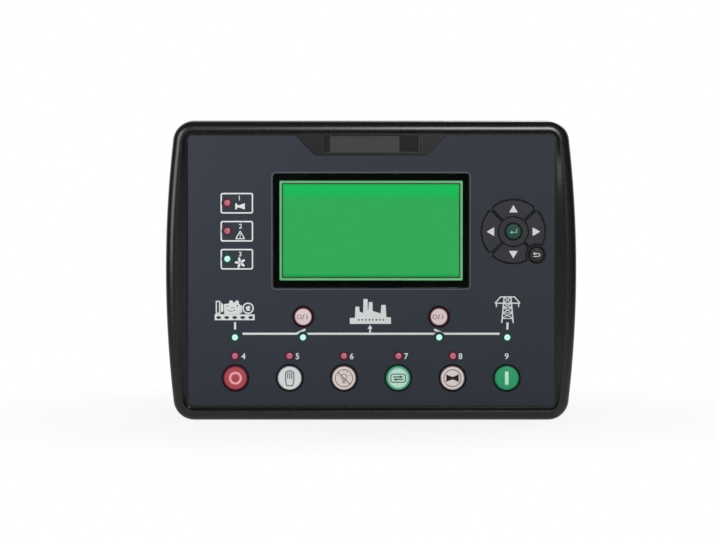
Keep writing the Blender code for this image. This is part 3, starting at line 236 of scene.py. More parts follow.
def filled(outlines, thickness, placed, rim=0.0):
    """Mesh of one outline with its holes, extruded evenly about its own plane."""
    curve = bpy.data.curves.new("drawn", "CURVE")
    curve.dimensions = "2D"
    curve.fill_mode = "BOTH"
    curve.extrude = thickness / 2.0 - rim
    curve.bevel_depth = rim
    curve.bevel_resolution = 3 if rim else 0
    curve.offset = -rim
    for outline in outlines:
        spline = curve.splines.new("POLY")
        spline.points.add(len(outline) - 1)
        for point, (u, v) in zip(spline.points, outline):
            point.co = (u, v, 0.0, 1.0)
        spline.use_cyclic_u = True
    drawn = show("drawn", curve)
    bpy.context.view_layer.update()
    ready = drawn.evaluated_get(bpy.context.evaluated_depsgraph_get())
    mesh = bpy.data.meshes.new_from_object(ready)
    bpy.data.objects.remove(drawn, do_unlink=True)
    mesh.transform(placed)
    shape = bmesh.new()
    shape.from_mesh(mesh)
    bmesh.ops.remove_doubles(shape, verts=shape.verts, dist=0.002 * MM)
    bmesh.ops.recalc_face_normals(shape, faces=shape.faces)
    shape.to_mesh(mesh)
    shape.free()
    return mesh


def plate(name, outlines, front, back, rim=0.0):
    """Outlines in X-Z, solid between two depths."""
    placed = Matrix.Translation((0.0, (front + back) / 2.0, 0.0)) @ FRONT_VIEW
    return show(name, filled(outlines, back - front, placed, rim))


def prism(name, outline, front, back, narrower=0.0):
    """A plain prism with one face at each end. The rear end can be narrower."""
    x = sum(p[0] for p in outline) / len(outline)
    z = sum(p[1] for p in outline) / len(outline)
    shape = bmesh.new()
    near = [shape.verts.new((u, front, v)) for u, v in outline]
    far = []
    for u, v in outline:
        pull = 1.0 - narrower / max(hypot(u - x, v - z), narrower + 1e-9)
        far.append(shape.verts.new((x + (u - x) * pull, back, z + (v - z) * pull)))
    shape.faces.new(near)
    shape.faces.new(far)
    for i in range(len(near)):
        k = (i + 1) % len(near)
        shape.faces.new((near[i], near[k], far[k], far[i]))
    return shown(name, shape)


def turned(name, profile, x, z, steps=80):
    """A solid round a Y axis through (x, z), from (radius, depth) pairs, both ends on the axis."""
    shape = bmesh.new()
    rings = []
    for radius, y in profile:
        if radius < 1e-9:
            rings.append([shape.verts.new((x, y, z))])
        else:
            rings.append([shape.verts.new((u, y, v)) for u, v in circle(x, z, radius, steps)])
    for near, far in zip(rings, rings[1:]):
        for i in range(steps):
            k = (i + 1) % steps
            loop = [near[i % len(near)], near[k % len(near)], far[k % len(far)], far[i % len(far)]]
            shape.faces.new(list(dict.fromkeys(loop)))
    return shown(name, shape)


def applied(piece):
    """Replace the piece's mesh by what its modifiers make of it."""
    bpy.context.view_layer.update()
    ready = piece.evaluated_get(bpy.context.evaluated_depsgraph_get())
    mesh = bpy.data.meshes.new_from_object(ready)
    piece.modifiers.clear()
    piece.data = mesh
    return piece


def combine(piece, tool, operation):
    change = piece.modifiers.new(operation.lower(), "BOOLEAN")
    change.operation = operation
    change.solver = "EXACT"
    change.object = tool
    applied(piece)
    bpy.data.objects.remove(tool, do_unlink=True)
    return piece


def cut(piece, tool):
    return combine(piece, tool, "DIFFERENCE")


def join(piece, tool):
    return combine(piece, tool, "UNION")


def merged(name, parts):
    """Several separate solids as the loose parts of one object."""
    shape = bmesh.new()
    for part in parts:
        shape.from_mesh(part.data)
        bpy.data.objects.remove(part, do_unlink=True)
    return shown(name, shape, outward=False)


def soften(piece, width, segments=3, angle=35.0):
    edge = piece.modifiers.new("soften", "BEVEL")
    edge.width = width
    edge.segments = segments
    edge.limit_method = "ANGLE"
    edge.angle_limit = radians(angle)
    return applied(piece)


def finished(piece, finish, body, *replaced, slot=None):
    """Smooth the piece, give it its material, and fix it to what carries it."""
    piece.data.materials.clear()
    piece.data.materials.append(finish)
    piece.data.shade_smooth()
    piece.data.set_sharp_from_angle(angle=radians(38.0))
    weighted = piece.modifiers.new("flat_faces_stay_flat", "WEIGHTED_NORMAL")
    weighted.keep_sharp = True
    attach(piece, body)
    if replaced:
        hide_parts(*replaced)
    return piece


# %% [markdown]
# ## A small kit for materials
#
# One function adds a node with its settings and links, and a few small ones use it
# for what every material needs. Colours are written as sRGB hex values, as a colour
# picker shows them, and turned to linear light once. Object coordinates are metres
# here, so a noise whose grain is `size` millimetres across needs a scale of
# 1000 / size.

# %% Material helpers
def linear(hex_value):
    parts = [int(hex_value[i:i + 2], 16) / 255.0 for i in (1, 3, 5)]
    return tuple(c / 12.92 if c <= 0.04045 else ((c + 0.055) / 1.055) ** 2.4
                 for c in parts) + (1.0,)


def per_mm(size):
    return 1000.0 / size


def feed(tree, node, sockets):
    """Give each socket a value, or a link where the value is another node's output."""
    for socket, value in sockets.items():
        if isinstance(value, bpy.types.NodeSocket):
            tree.links.new(value, node.inputs[socket])
        else:
            node.inputs[socket].default_value = value
    return node


def add(tree, kind, sockets=None, **settings):
    made = tree.nodes.new("ShaderNode" + kind)
    for key, value in settings.items():
        setattr(made, key, value)
    return feed(tree, made, sockets or {})


def noise(tree, size, detail=2.0):
    """Noise with a grain of `size` mm, fixed to the piece."""
    place = add(tree, "TexCoord").outputs["Object"]
    return add(tree, "TexNoise", {"Vector": place, "Scale": per_mm(size),
                                  "Detail": detail}).outputs["Fac"]


def remap(tree, value, source=(0.0, 1.0), target=(0.0, 1.0), **settings):
    """Carry a value from one range to another."""
    return add(tree, "MapRange", {"Value": value, "From Min": source[0], "From Max": source[1],
                                  "To Min": target[0], "To Max": target[1]},
               **settings).outputs["Result"]


def blend(tree, first, last, share):
    """A colour between two."""
    return add(tree, "Mix", {6: first, 7: last, "Factor": share}, data_type="RGBA").outputs[2]


def calculate(tree, operation, first, second):
    return add(tree, "Math", {0: first, 1: second}, operation=operation).outputs["Value"]


def new_finish(name, **sockets):
    made = bpy.data.materials.new(name)
    made.use_nodes = True
    shader = made.node_tree.nodes["Principled BSDF"]
    for socket, value in sockets.items():
        shader.inputs[socket.replace("_", " ")].default_value = value
    return made, made.node_tree, shader


def grained(name, dark, light, grain, relief, rough, patch=25.0, **sockets):
    """A moulded or sprayed surface: two close shades in soft patches, and a fine relief.

    grain and patch are sizes in mm, relief is the height of the grain in mm, and
    rough is the lowest and highest roughness."""
    made, tree, shader = new_finish(name, **sockets)
    fine = noise(tree, grain, 3.0)
    both = add(tree, "Mix", {"Factor": 0.35, "A": noise(tree, patch), "B": fine},
               data_type="FLOAT")
    bump = add(tree, "Bump", {"Height": fine, "Distance": relief * MM, "Strength": 0.6})
    feed(tree, shader, {
        "Base Color": blend(tree, linear(dark), linear(light), both.outputs["Result"]),
        "Roughness": remap(tree, fine, (0.3, 0.7), rough),
        "Normal": bump.outputs["Normal"]})
    return made


# %% [markdown]
# ## Plastics
#
# The bezel and the case are PC/ABS, moulded in a spark-eroded tool. The tool leaves
# a fine matt grain of about 0.1 mm, drawn here at 0.8 mm so that it shows at all.
# On the bezel it is very shallow and only softens the highlight that runs round the
# rim, which is the main sign of the shape on a part as dark as this one. The other
# plastics differ in how deep the grain is and how wide it spreads the light:
#
# - the case is a little lighter and rougher, so that its steps read as planes;
# - the pocket's floor is dull, so that it looks deep, and rings of the same dark plastic round the
#   terminal screws are painted shade of their wells;
# - the nameplate is smooth sheet PVC, one shade lighter, and the same PVC paints the highlights on
#   the pocket's edges;
# - plugs and headers are green polyamide with a half-matt face;
# - relays and transformers are PBT, smooth and slightly shiny;
# - the seal is open foam with a coarse, fully matt skin;
# - the keymat is bare silicone, soft grey and without gloss.

# %% Moulded plastics
spark_eroded_abs = grained("spark_eroded_abs", "#101011", "#161617", 0.8, 0.0005, (0.25, 0.28),
                           Specular_IOR_Level=0.55)
case_abs = grained("case_abs", "#1f2021", "#292a2b", 0.7, 0.012, (0.45, 0.58))
socket_floor_abs = grained("socket_floor_abs", "#1b1b1c", "#222224", 0.6, 0.01, (0.5, 0.6),
                           Specular_IOR_Level=0.12)
nameplate_pvc = grained("nameplate_pvc", "#303032", "#383839", 0.9, 0.01, (0.42, 0.52),
                        Specular_IOR_Level=0.3)
plug_polyamide = grained("plug_polyamide", "#2c7a48", "#36874f", 1.0, 0.01, (0.38, 0.50))
header_polyamide = grained("header_polyamide", "#23653b", "#2b7043", 1.0, 0.01, (0.38, 0.50))
black_pbt = grained("black_pbt", "#1b1b1d", "#242426", 0.9, 0.01, (0.40, 0.52))
blue_pbt = grained("blue_pbt", "#23406f", "#2b4b7e", 0.9, 0.01, (0.35, 0.48))
epdm_foam = grained("epdm_foam", "#141414", "#1e1e1e", 0.6, 0.15, (0.85, 0.95))
keymat_silicone = grained("keymat_silicone", "#8a8a8c", "#969698", 0.6, 0.01, (0.55, 0.65))
print("bezel grain drawn at 0.8 mm")

# %% [markdown]
# The film is polyester, printed on its back and given a matt texture on its front,
# which scatters light without hiding the colour below. The prints on it are a dense
# white. Those on the caps are thinner and take a shade of the cap's own colour.

# %% Film and ink
def print_ink(name, dark, light, **sockets):
    """Ink on a cap: half-matt, with a fine even grain."""
    return grained(name, dark, light, 0.5, 0.004, (0.5, 0.6), **sockets)


slate_polyester = grained("slate_polyester", "#2c3039", "#323740", 0.9, 0.004, (0.50, 0.60),
                          patch=60.0, Specular_IOR_Level=0.18)
white_ink = grained("white_ink", "#d4d8d7", "#e1e4e3", 0.7, 0.004, (0.5, 0.6))
grey_ink = print_ink("grey_ink", "#565959", "#676a69", Specular_IOR_Level=0.2)
rose_ink = print_ink("rose_ink", "#775351", "#886462")
dark_ink = print_ink("dark_ink", "#201313", "#2c1c1b", Specular_IOR_Level=0.2)
mint_ink = print_ink("mint_ink", "#6fae9c", "#83c2b0")
deep_green_ink = print_ink("deep_green_ink", "#27483c", "#335747")
pale_red_ink = print_ink("pale_red_ink", "#f2a0a6", "#ffb6ba")
pale_green_ink = print_ink("pale_green_ink", "#b8f5d4", "#ccffe2")

# %% [markdown]
# Key caps are silicone rubber with a polyurethane coat. The coat gives a satin
# surface, and the rubber below lets a little light in at the edges, so a pale cap
# never looks like painted metal.

# %% Key caps
def cap_radius(name):
    return span(name).x / 2.0 - KEY_LIP


def coated_silicone(name, dark, light):
    """Satin rubber: a weak sheen, and a little light that enters and comes out again."""
    return grained(name, dark, light, 0.6, 0.006, (0.42, 0.52), patch=9.0,
                   Specular_IOR_Level=0.3, Subsurface_Weight=0.08,
                   Subsurface_Radius=(1.0, 0.6, 0.5), Subsurface_Scale=0.6 * MM)


def round_cap_with_edge_shade(key, name, dark, light, edge, band):
    """A cap whose outer band, `band` mm wide, fades to the edge colour, which is painted shade on
    the cap's rounded rim.
    """
    made = coated_silicone(name, dark, light)
    tree = made.node_tree
    shader = tree.nodes["Principled BSDF"]
    face = shader.inputs["Base Color"].links[0].from_socket
    middle = centre(key)
    flat = add(tree, "VectorMath", {0: add(tree, "TexCoord").outputs["Object"],
                                    1: (1.0, 0.0, 1.0)}, operation="MULTIPLY")
    away = add(tree, "VectorMath", {0: flat.outputs["Vector"], 1: (middle.x, 0.0, middle.z)},
               operation="DISTANCE")
    outer = cap_radius(key) - 0.35 * MM
    fade = remap(tree, away.outputs["Value"], (outer - band * MM, outer),
                 interpolation_type="SMOOTHSTEP")
    feed(tree, shader, {"Base Color": blend(tree, face, linear(edge), fade)})
    return made


# The edge colour of each cap is painted shade on its rounded rim, darker than the face.
CAP_COLOURS = {                 # name, darkest, lightest, edge, width of the edge in mm
    "stop_key": ("red_silicone", "#ab424d", "#ba4d5a", "#5f222d", 0.9),
    "manual_key": ("white_silicone", "#dde1e0", "#e8ebea", "#7d8180", 0.5),
    "test_key": ("ivory_silicone", "#e4d8d2", "#efe5e0", "#7f6f6e", 0.5),
    "auto_key": ("pale_green_silicone", "#bfe8d5", "#d2f3e5", "#3c9874", 2.0),
    "mute_key": ("rose_white_silicone", "#e6d7d4", "#f0e4e1", "#7d6b6a", 0.5),
    "start_key": ("green_silicone", "#279b68", "#31aa76", "#2a7f5b", 0.6),
    "generator_breaker_key": ("pink_silicone", "#dec9ca", "#ebd9d9", "#4d1f28", 0.9),
    "mains_breaker_key": ("pink_silicone", "#dec9ca", "#ebd9d9", "#4d1f28", 0.9),
    "enter_key": ("dark_green_silicone", "#16382f", "#1f463b", "#112a24", 0.8),
    "escape_key": ("charcoal_silicone", "#1b1c1e", "#222325", "#16171a", 0.5),
}
KEY_FINISH = {key: round_cap_with_edge_shade(key, *colours) for key, colours in CAP_COLOURS.items()}
graphite = coated_silicone("graphite_silicone", "#24252b", "#2b2c32")
for name in PAD_KEYS:
    KEY_FINISH[name] = graphite
print(len(set(KEY_FINISH.values())), "key finishes")

# %% [markdown]
# Screws and clips are zinc-plated steel. The plating has small crystals, so its
# tone changes from spot to spot. A metal keeps the default IOR: its colour does the
# work. Contacts are tinned, which is a softer and paler grey.

# %% Metals
def plated(name, dark, light, spangle, rough):
    """Bare metal with crystals `spangle` mm across that differ a little in tone."""
    return grained(name, dark, light, spangle, 0.008, rough, patch=4.0, Metallic=1.0)


zinc_plated_steel = plated("zinc_plated_steel", "#a9aaa6", "#c9cac6", 1.2, (0.28, 0.42))
nickel_plated_steel = plated("nickel_plated_steel", "#b2afa8", "#cdcac3", 0.9, (0.18, 0.28))
tinned_copper = plated("tinned_copper", "#bdbdbb", "#d4d4d2", 0.8, (0.30, 0.40))
rolled_steel = plated("rolled_steel", "#8f9294", "#a6a9ab", 1.0, (0.30, 0.42))

# %% [markdown]
# The boards are FR4 laminate under green solder mask. The mask is glossy and the
# copper below shows as lighter tracks, here a brick pattern 2.5 mm wide.

# %% Solder mask
def solder_mask():
    """Green mask with a thin glossy coat over lighter tracks."""
    made, tree, shader = new_finish("solder_mask", Coat_Weight=0.4, Coat_Roughness=0.15)
    place = add(tree, "TexCoord").outputs["Object"]
    flat = add(tree, "Mapping", {"Vector": place, "Rotation": (radians(90.0), 0.0, 0.0)})
    tracks = add(tree, "TexBrick", {"Vector": flat.outputs["Vector"], "Scale": per_mm(2.5),
                                    "Color1": linear("#14502e"), "Color2": linear("#0f4426"),
                                    "Mortar": linear("#1f6a40"), "Mortar Size": 0.08})
    feed(tree, shader, {"Base Color": tracks.outputs["Color"],
                        "Roughness": remap(tree, noise(tree, 1.0), target=(0.3, 0.45))})
    return made


solder_mask_fr4 = solder_mask()
print("board tracks drawn 2.5 mm apart")

# %% [markdown]
# ## Bezel
#
# The bezel is one moulding. Its outline has sides that bow out on a radius of
# 655 mm, and its section is carried round that outline: a quarter-round outside, a
# narrow crest, and a slope down to the recess that the film lies in. Rings of
# points lofted along the outline give exactly that, and many steps keep the
# highlight on the rim smooth.

# %% Bezel outlines
bezel_low, bezel_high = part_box("front_bezel")
HALF_W, HALF_H = bezel_high.x, bezel_high.z
CREST, BEZEL_REAR = bezel_low.y, bezel_high.y
film_w, film_h = span("overlay").x / 2.0, span("overlay").z / 2.0
BOW_RADIUS = 655.0 * MM
BEZEL_CORNER = 12.0 * MM
FILM_CORNER = 2.0 * MM
FILM_GROOVE = 1.1 * MM
CORNER_STEPS = 20
SIDE_STEPS = 40


def both_sides(right):
    """The whole outline, from its right side without the lower corner."""
    right = right + [(x, -z) for x, z in reversed(right[:CORNER_STEPS + 1])]
    return right + [(-x, z) for x, z in reversed(right)]


def barrel(inset=0.0):
    """The bowed outline, clockwise from the top right, drawn inwards by inset."""
    bow_x = HALF_W - BOW_RADIUS
    corner_z = HALF_H - BEZEL_CORNER
    reach = BOW_RADIUS - BEZEL_CORNER
    corner_x = bow_x + sqrt(reach ** 2 - corner_z ** 2)
    side = asin(corner_z / reach)
    right = []
    for i in range(CORNER_STEPS + 1):
        a = pi / 2.0 + (side - pi / 2.0) * i / CORNER_STEPS
        size = BEZEL_CORNER - inset
        right.append((corner_x + size * cos(a), corner_z + size * sin(a)))
    for i in range(1, SIDE_STEPS):
        a = side - 2.0 * side * i / SIDE_STEPS
        right.append((bow_x + (BOW_RADIUS - inset) * cos(a), (BOW_RADIUS - inset) * sin(a)))
    return both_sides(right)


def recess(grow=0.0):
    """The straight recess round the film, point for point like barrel()."""
    w, h = film_w + FILM_GROOVE + grow, film_h + FILM_GROOVE + grow
    corner = FILM_CORNER + FILM_GROOVE + grow
    right = []
    for i in range(CORNER_STEPS + 1):
        a = pi / 2.0 * (1.0 - i / CORNER_STEPS)
        right.append((w - corner + corner * cos(a), h - corner + corner * sin(a)))
    for i in range(1, SIDE_STEPS):
        right.append((w, (h - corner) * (1.0 - 2.0 * i / SIDE_STEPS)))
    return both_sides(right)


print(len(barrel()), "points round the bezel")

# %% [markdown]
# The rings start at the rear edge, go round the quarter-round to the crest, slope down
# to the inner lip and end at the tray's floor. The slope is a blend of the crest's
# outline and the recess's, so it is wide at half height and narrow at the corners.

# %% Bezel rim
GAP = 0.3 * MM
RIM_ROUND = 5.0 * MM
LIP_DROP = 2.0 * MM             # crest to the inner lip
LIP_ROUND = 0.25 * MM
FLOOR_FRONT = FILM_BACK + GAP
FLOOR_BACK = FLOOR_FRONT + 2.5 * MM


def blend_rings(outer, inner, share):
    return [(a[0] + (b[0] - a[0]) * share, a[1] + (b[1] - a[1]) * share)
            for a, b in zip(outer, inner)]


def rim_rings():
    """Outline and depth of each ring, from the rear edge over the crest to the floor."""
    rings = [(barrel(), BEZEL_REAR)]
    for i in range(15):
        a = pi / 2.0 * i / 14
        rings.append((barrel(RIM_ROUND * (1.0 - cos(a))), CREST + RIM_ROUND * (1.0 - sin(a))))
    crest, lip = barrel(RIM_ROUND + 0.3 * MM), recess(LIP_ROUND)
    for share, drop in ((0.0, 0.0), (0.07, 0.01), (0.15, 0.06), (0.25, 0.16), (0.4, 0.33),
                        (0.6, 0.56), (0.8, 0.79), (0.93, 0.94)):
        rings.append((blend_rings(crest, lip, share), CREST + LIP_DROP * drop))
    for i in range(5):
        a = pi / 2.0 * i / 4
        rings.append((recess(LIP_ROUND * (1.0 - sin(a))),
                      CREST + LIP_DROP + LIP_ROUND * (1.0 - cos(a))))
    rings.append((recess(), FLOOR_FRONT))
    return rings


def lofted(name, rings):
    shape = bmesh.new()
    loops = [[shape.verts.new((x, y, z)) for x, z in ring] for ring, y in rings]
    shape.faces.new(loops[0])
    shape.faces.new(loops[-1])
    for near, far in zip(loops, loops[1:]):
        for i in range(len(near)):
            k = (i + 1) % len(near)
            shape.faces.new((near[i], near[k], far[k], far[i]))
    return shown(name, shape)


bezel = lofted("bezel_moulding", rim_rings())
print("rim faces:", len(bezel.data.polygons))

# %% [markdown]
# The film has a notch at its top, and the bezel fills it with a raised island that
# holds the pocket of the nameplate. The ring between the centre key and the four
# arrow keys is part of the bezel too, raised to the level of the film.

# %% Island, hub and pocket
NOTCH_TOP, NOTCH_BOTTOM, NOTCH_DEPTH = 86.7 * MM, 64.4 * MM, 11.5 * MM
POCKET_WIDTH, POCKET_HEIGHT, POCKET_DEPTH = 54.3 * MM, 10.2 * MM, 1.0 * MM
plate_low, plate_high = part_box("nameplate")
PAD_RIM = 8.8 * MM              # inner edge of the arrow keys
PAD_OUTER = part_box("right_key")[1].x - pad.x - KEY_LIP


def notch(grow=0.0):
    """The notch in the film, from its top left to its top right."""
    w, n = NOTCH_TOP / 2.0 - grow, NOTCH_BOTTOM / 2.0 - grow
    low = film_h - NOTCH_DEPTH + grow
    return [(-w, film_h), (-n, low), (n, low), (w, film_h)]


rim_top = HALF_H - RIM_ROUND
island = [(-NOTCH_TOP / 2.0 + GAP, rim_top)] + notch(GAP) + [(NOTCH_TOP / 2.0 - GAP, rim_top)]
join(bezel, plate("island", [rounded(island, 0.6 * MM)], FILM_FACE, FLOOR_FRONT + GAP, 0.15 * MM))
join(bezel, turned("hub", [(0.0, FLOOR_FRONT + GAP), (PAD_RIM - 2.0 * GAP, FLOOR_FRONT + GAP),
                           (PAD_RIM - 2.0 * GAP, FILM_FACE + 0.3 * MM),
                           (PAD_RIM - 3.0 * GAP, FILM_FACE), (0.0, FILM_FACE)], pad.x, pad.z))
pocket_mid = (plate_low.z + plate_high.z) / 2.0
pocket = soft_rectangle(0.0, pocket_mid, POCKET_WIDTH, POCKET_HEIGHT, 0.5 * MM)
cut(bezel, prism("pocket", pocket, CREST - MM, FILM_FACE + POCKET_DEPTH, 0.12 * MM))
print("pocket middle at z", round(pocket_mid / MM, 1), "mm")

# %% [markdown]
# Behind its face the bezel is a shallow tray: a wide hollow for the boards, bores
# for keys and lights, a rebate for the window, a groove for the seal, and hollows
# that keep the thick sides from sinking as the plastic cools.

# %% Pad sector outline
def arc_with_shoulders(x, z, radius, first, last):
    """Arc points whose first and last steps are long, so that a corner there can be rounded."""
    shoulder = 2.4 * MM / radius * (1.0 if last > first else -1.0)
    if abs(last - first) < 2.4 * abs(shoulder):
        shoulder = (last - first) / 2.4
    swing = last - first - 2.0 * shoulder
    steps = max(2, int(abs(swing) * radius / (0.5 * MM)))
    turns = [first] + [first + shoulder + swing * i / steps for i in range(steps + 1)] + [last]
    return [(x + radius * cos(a), z + radius * sin(a)) for a in turns]


def bitten(points, x, z, radius):
    """The outline with a circle cut out of its edge."""
    kept, crossings = [], []
    for i, here in enumerate(points):
        if hypot(here[0] - x, here[1] - z) > radius:
            kept.append(here)
        a = Vector(here) - Vector((x, z))
        d = Vector(points[(i + 1) % len(points)]) - Vector(here)
        reach = a.dot(d) ** 2 - d.dot(d) * (a.dot(a) - radius ** 2)
        for sign in (-1.0, 1.0):
            t = (-a.dot(d) + sign * sqrt(max(reach, 0.0))) / d.dot(d)
            if reach > 0.0 and 0.0 <= t < 1.0:
                crossings.append((sign, len(kept), a + d * t))
    if len(crossings) != 2:
        return points
    entry = next(c for c in crossings if c[0] < 0)
    leave = next(c for c in crossings if c[0] > 0)
    first, last = atan2(entry[2].y, entry[2].x), atan2(leave[2].y, leave[2].x)
    last = first + (last - first + pi) % (2.0 * pi) - pi
    clear = [[p for p in side if all((Vector(p) - Vector((x, z)) - c[2]).length > 1.6 * MM
                                     for c in crossings)]
             for side in (kept[:entry[1]], kept[entry[1]:])]
    return clear[0] + arc_with_shoulders(x, z, radius, first, last) + clear[1]


def outer_corner(at, outer):
    """A key's outer corners are rounder, but not those beside the escape key."""
    on_rim = hypot(at[0] - pad.x, at[1] - pad.z) > outer - 0.3 * MM
    apart = hypot(at[0] - escape.x, at[1] - escape.z) > 12.0 * MM
    return CAP_CORNER_OUTER if on_rim and apart else CAP_CORNER


def sector(facing, slit, inner, outer, keep_out):
    """A quarter of the pad ring between two slits, bitten by the escape key's ring."""
    points = []
    for radius, way in ((outer, 1.0), (inner, -1.0)):
        spread = way * (radians(45.0) - asin(slit / 2.0 / radius))
        middle = radians(facing)
        points += arc_with_shoulders(pad.x, pad.z, radius, middle - spread, middle + spread)
    return rounded(bitten(points, escape.x, escape.z, keep_out), CAP_CORNER,
                   larger=lambda at: outer_corner(at, outer))


KEEP_OUT = span("escape_key").x / 2.0 - KEY_LIP + 2.1 * MM
print("escape ring", round(KEEP_OUT / MM, 2), "mm")

# %% [markdown]
# Each group of cuts is merged into one tool, so that the Boolean runs once a group.

# %% Bores, hollow and grooves of the bezel
round_names = ROW_KEYS + BREAKER_KEYS + ["enter_key", "escape_key"]
window, window_size = centre("lcd_window"), span("lcd_window")
WINDOW_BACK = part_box("lcd_window")[1].y
LEDGE = 3.0 * MM
screw_places = [(centre(f"case_screw_{i}").x, centre(f"case_screw_{i}").z) for i in (1, 2, 3, 4)]
seal_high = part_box("panel_gasket")[1]
SEAL_WIDTH = 3.0 * MM
BOSS_RADIUS = 4.0 * MM
TRAY_WIDTH, TRAY_HEIGHT = 206.0 * MM, 152.0 * MM
BOSS_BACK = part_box("display_board")[0].y + 0.6 * MM


def bore(outline):
    """A tool that goes through the tray's floor."""
    return prism("bore", outline, CREST - MM, FLOOR_BACK + MM)


def window_outline(grow, radius):
    """The window's outline, wider and higher by grow."""
    return soft_rectangle(window.x, window.z, window_size.x + grow, window_size.z + grow, radius)


hollow = soft_rectangle(0, 0, TRAY_WIDTH, TRAY_HEIGHT, 3.0 * MM)
cut(bezel, prism("hollow", hollow, FLOOR_BACK, BEZEL_REAR + MM))
bosses = [turned("boss", [(0.0, FLOOR_BACK - MM), (BOSS_RADIUS, FLOOR_BACK - MM),
                          (BOSS_RADIUS, BOSS_BACK), (0.0, BOSS_BACK)], x, z, 32)
          for x, z in screw_places]
join(bezel, merged("bosses", bosses))
through = [circle(centre(n).x, centre(n).z, cap_radius(n) + GAP) for n in round_names]
through += [circle(x, z, LIGHT_RADIUS + 0.15 * MM, 40) for x, z in all_lights]
through += [sector(facing, 0.9 * MM, PAD_RIM - GAP, PAD_OUTER + GAP, KEEP_OUT - GAP)
            for facing in PAD_KEYS.values()]
through.append(window_outline(-2.0 * LEDGE, 1.5 * MM))
cut(bezel, merged("through", [bore(outline) for outline in through]))
rebate = window_outline(2.0 * GAP, 1.8 * MM)
cut(bezel, prism("rebate", rebate, CREST - MM, WINDOW_BACK + GAP))
seal_outer = soft_rectangle(0, 0, 2.0 * seal_high.x + GAP, 2.0 * seal_high.z + GAP, 8.0 * MM)
seal_inner = soft_rectangle(0, 0, 2.0 * (seal_high.x - SEAL_WIDTH) - GAP,
                            2.0 * (seal_high.z - SEAL_WIDTH) - GAP, 5.0 * MM)
cut(bezel, plate("groove", [seal_outer, seal_inner], BEZEL_REAR - 1.5 * MM, BEZEL_REAR + MM))
print("bezel faces:", len(bezel.data.polygons))

# %% [markdown]
# The bowed sides are thick at half height. Four hollows on each side, two above and
# two below the middle, follow the bow and leave a wall of 2.6 mm.

# %% Coring of the sides
def side_at(z):
    return HALF_W - BOW_RADIUS + sqrt(BOW_RADIUS ** 2 - z ** 2)


CORING_WALL, CORING_DEPTH = 2.6 * MM, 7.8 * MM
cores = []
for low, high in ((1.5 * MM, 24.5 * MM), (27.5 * MM, 50.0 * MM)):
    heights = [low + (high - low) * i / 8 for i in range(9)]
    edge = [(side_at(z) - CORING_WALL, z) for z in heights]
    shape = rounded([(seal_high.x + 1.8 * MM, low)] + edge + [(seal_high.x + 1.8 * MM, high)], MM)
    for sx in (-1.0, 1.0):
        for sz in (-1.0, 1.0):
            cores.append(prism("core", [(sx * x, sz * z) for x, z in shape],
                               BEZEL_REAR - CORING_DEPTH, BEZEL_REAR + MM))
cut(bezel, merged("cores", cores))
finished(bezel, spark_eroded_abs, "controller", "front_bezel", slot="bezel_plastic")
print("bezel faces:", len(bezel.data.polygons))

# %% [markdown]
# ## Film and nameplate
#
# The film is one sheet with an opening for every key, light and window. Its edge is
# eased by 0.1 mm, as a die-cut edge is, so that a thin line of light follows it.
#
# The bare nameplate lies in the pocket above the film. On both sides of it the
# pocket's floor stays open. A thin strip below and a small raised lip that ends the
# pocket at the right are lighter PVC: painted highlights on the pocket's edges.

# %% Film
KEY_RING = 1.0 * MM             # open ring of the film round a cap


def pad_opening():
    """The pad's circle merged with the escape key's smaller one."""
    big, small = PAD_OUTER + 0.9 * MM, cap_radius("escape_key") + KEY_RING
    way = Vector((escape.x - pad.x, escape.z - pad.z))
    far = way.length
    along_way = (far ** 2 + big ** 2 - small ** 2) / (2.0 * far)
    big_half = acos(along_way / big)
    small_half = acos((far - along_way) / small)
    towards = atan2(way.y, way.x)
    points = []
    for i in range(289):
        a = towards + big_half + (2.0 * pi - 2.0 * big_half) * i / 288
        # The film runs a little way in between two keys, where their corners are round.
        off = abs((degrees(a) % 90.0) - 45.0)
        dip = 2.1 * MM * max(0.0, 1.0 - radians(off) * big / (1.7 * MM))
        points.append((pad.x + (big - dip) * cos(a), pad.z + (big - dip) * sin(a)))
    for i in range(1, 40):
        a = towards + pi + small_half + 2.0 * (pi - small_half) * i / 40
        points.append((escape.x + small * cos(a), escape.z + small * sin(a)))
    return points


film_edge = [(-film_w, -film_h), (film_w, -film_h), (film_w, film_h)]
film_edge = rounded(film_edge + notch()[::-1] + [(-film_w, film_h)], FILM_CORNER)
film_holes = [circle(centre(n).x, centre(n).z, cap_radius(n) + KEY_RING)
              for n in ROW_KEYS + BREAKER_KEYS]
film_holes += [circle(x, z, LIGHT_RADIUS + 0.1 * MM, 40) for x, z in all_lights]
film_holes += [pad_opening(), rebate]
film = plate("overlay_film", [film_edge] + film_holes, FILM_FACE, FILM_BACK, 0.1 * MM)
finished(film, slate_polyester, "controller", "overlay", slot="overlay_film")
tag = rectangle((plate_low.x + plate_high.x) / 2.0, pocket_mid, (plate_high - plate_low).x,
                (plate_high - plate_low).z)
tag = plate("bare_nameplate", [rounded(tag, 0.3 * MM)], plate_low.y, plate_high.y, 0.1 * MM)
finished(tag, nameplate_pvc, "controller", "nameplate", slot="bare_plate")
FLOOR_END, LOWER_HIGHLIGHT_END = 26.9 * MM, 26.7 * MM      # from the middle to the pocket's ends
FLOOR_HEIGHT = 9.6 * MM


def beside_plate(end, z, height, radius):
    """Two outlines in the pocket, left and right of the nameplate."""
    return [soft_rectangle((edge + side * end) / 2.0, z, abs(edge - side * end) - 0.2 * MM,
                           height, radius)
            for edge, side in ((plate_low.x, -1.0), (plate_high.x, 1.0))]


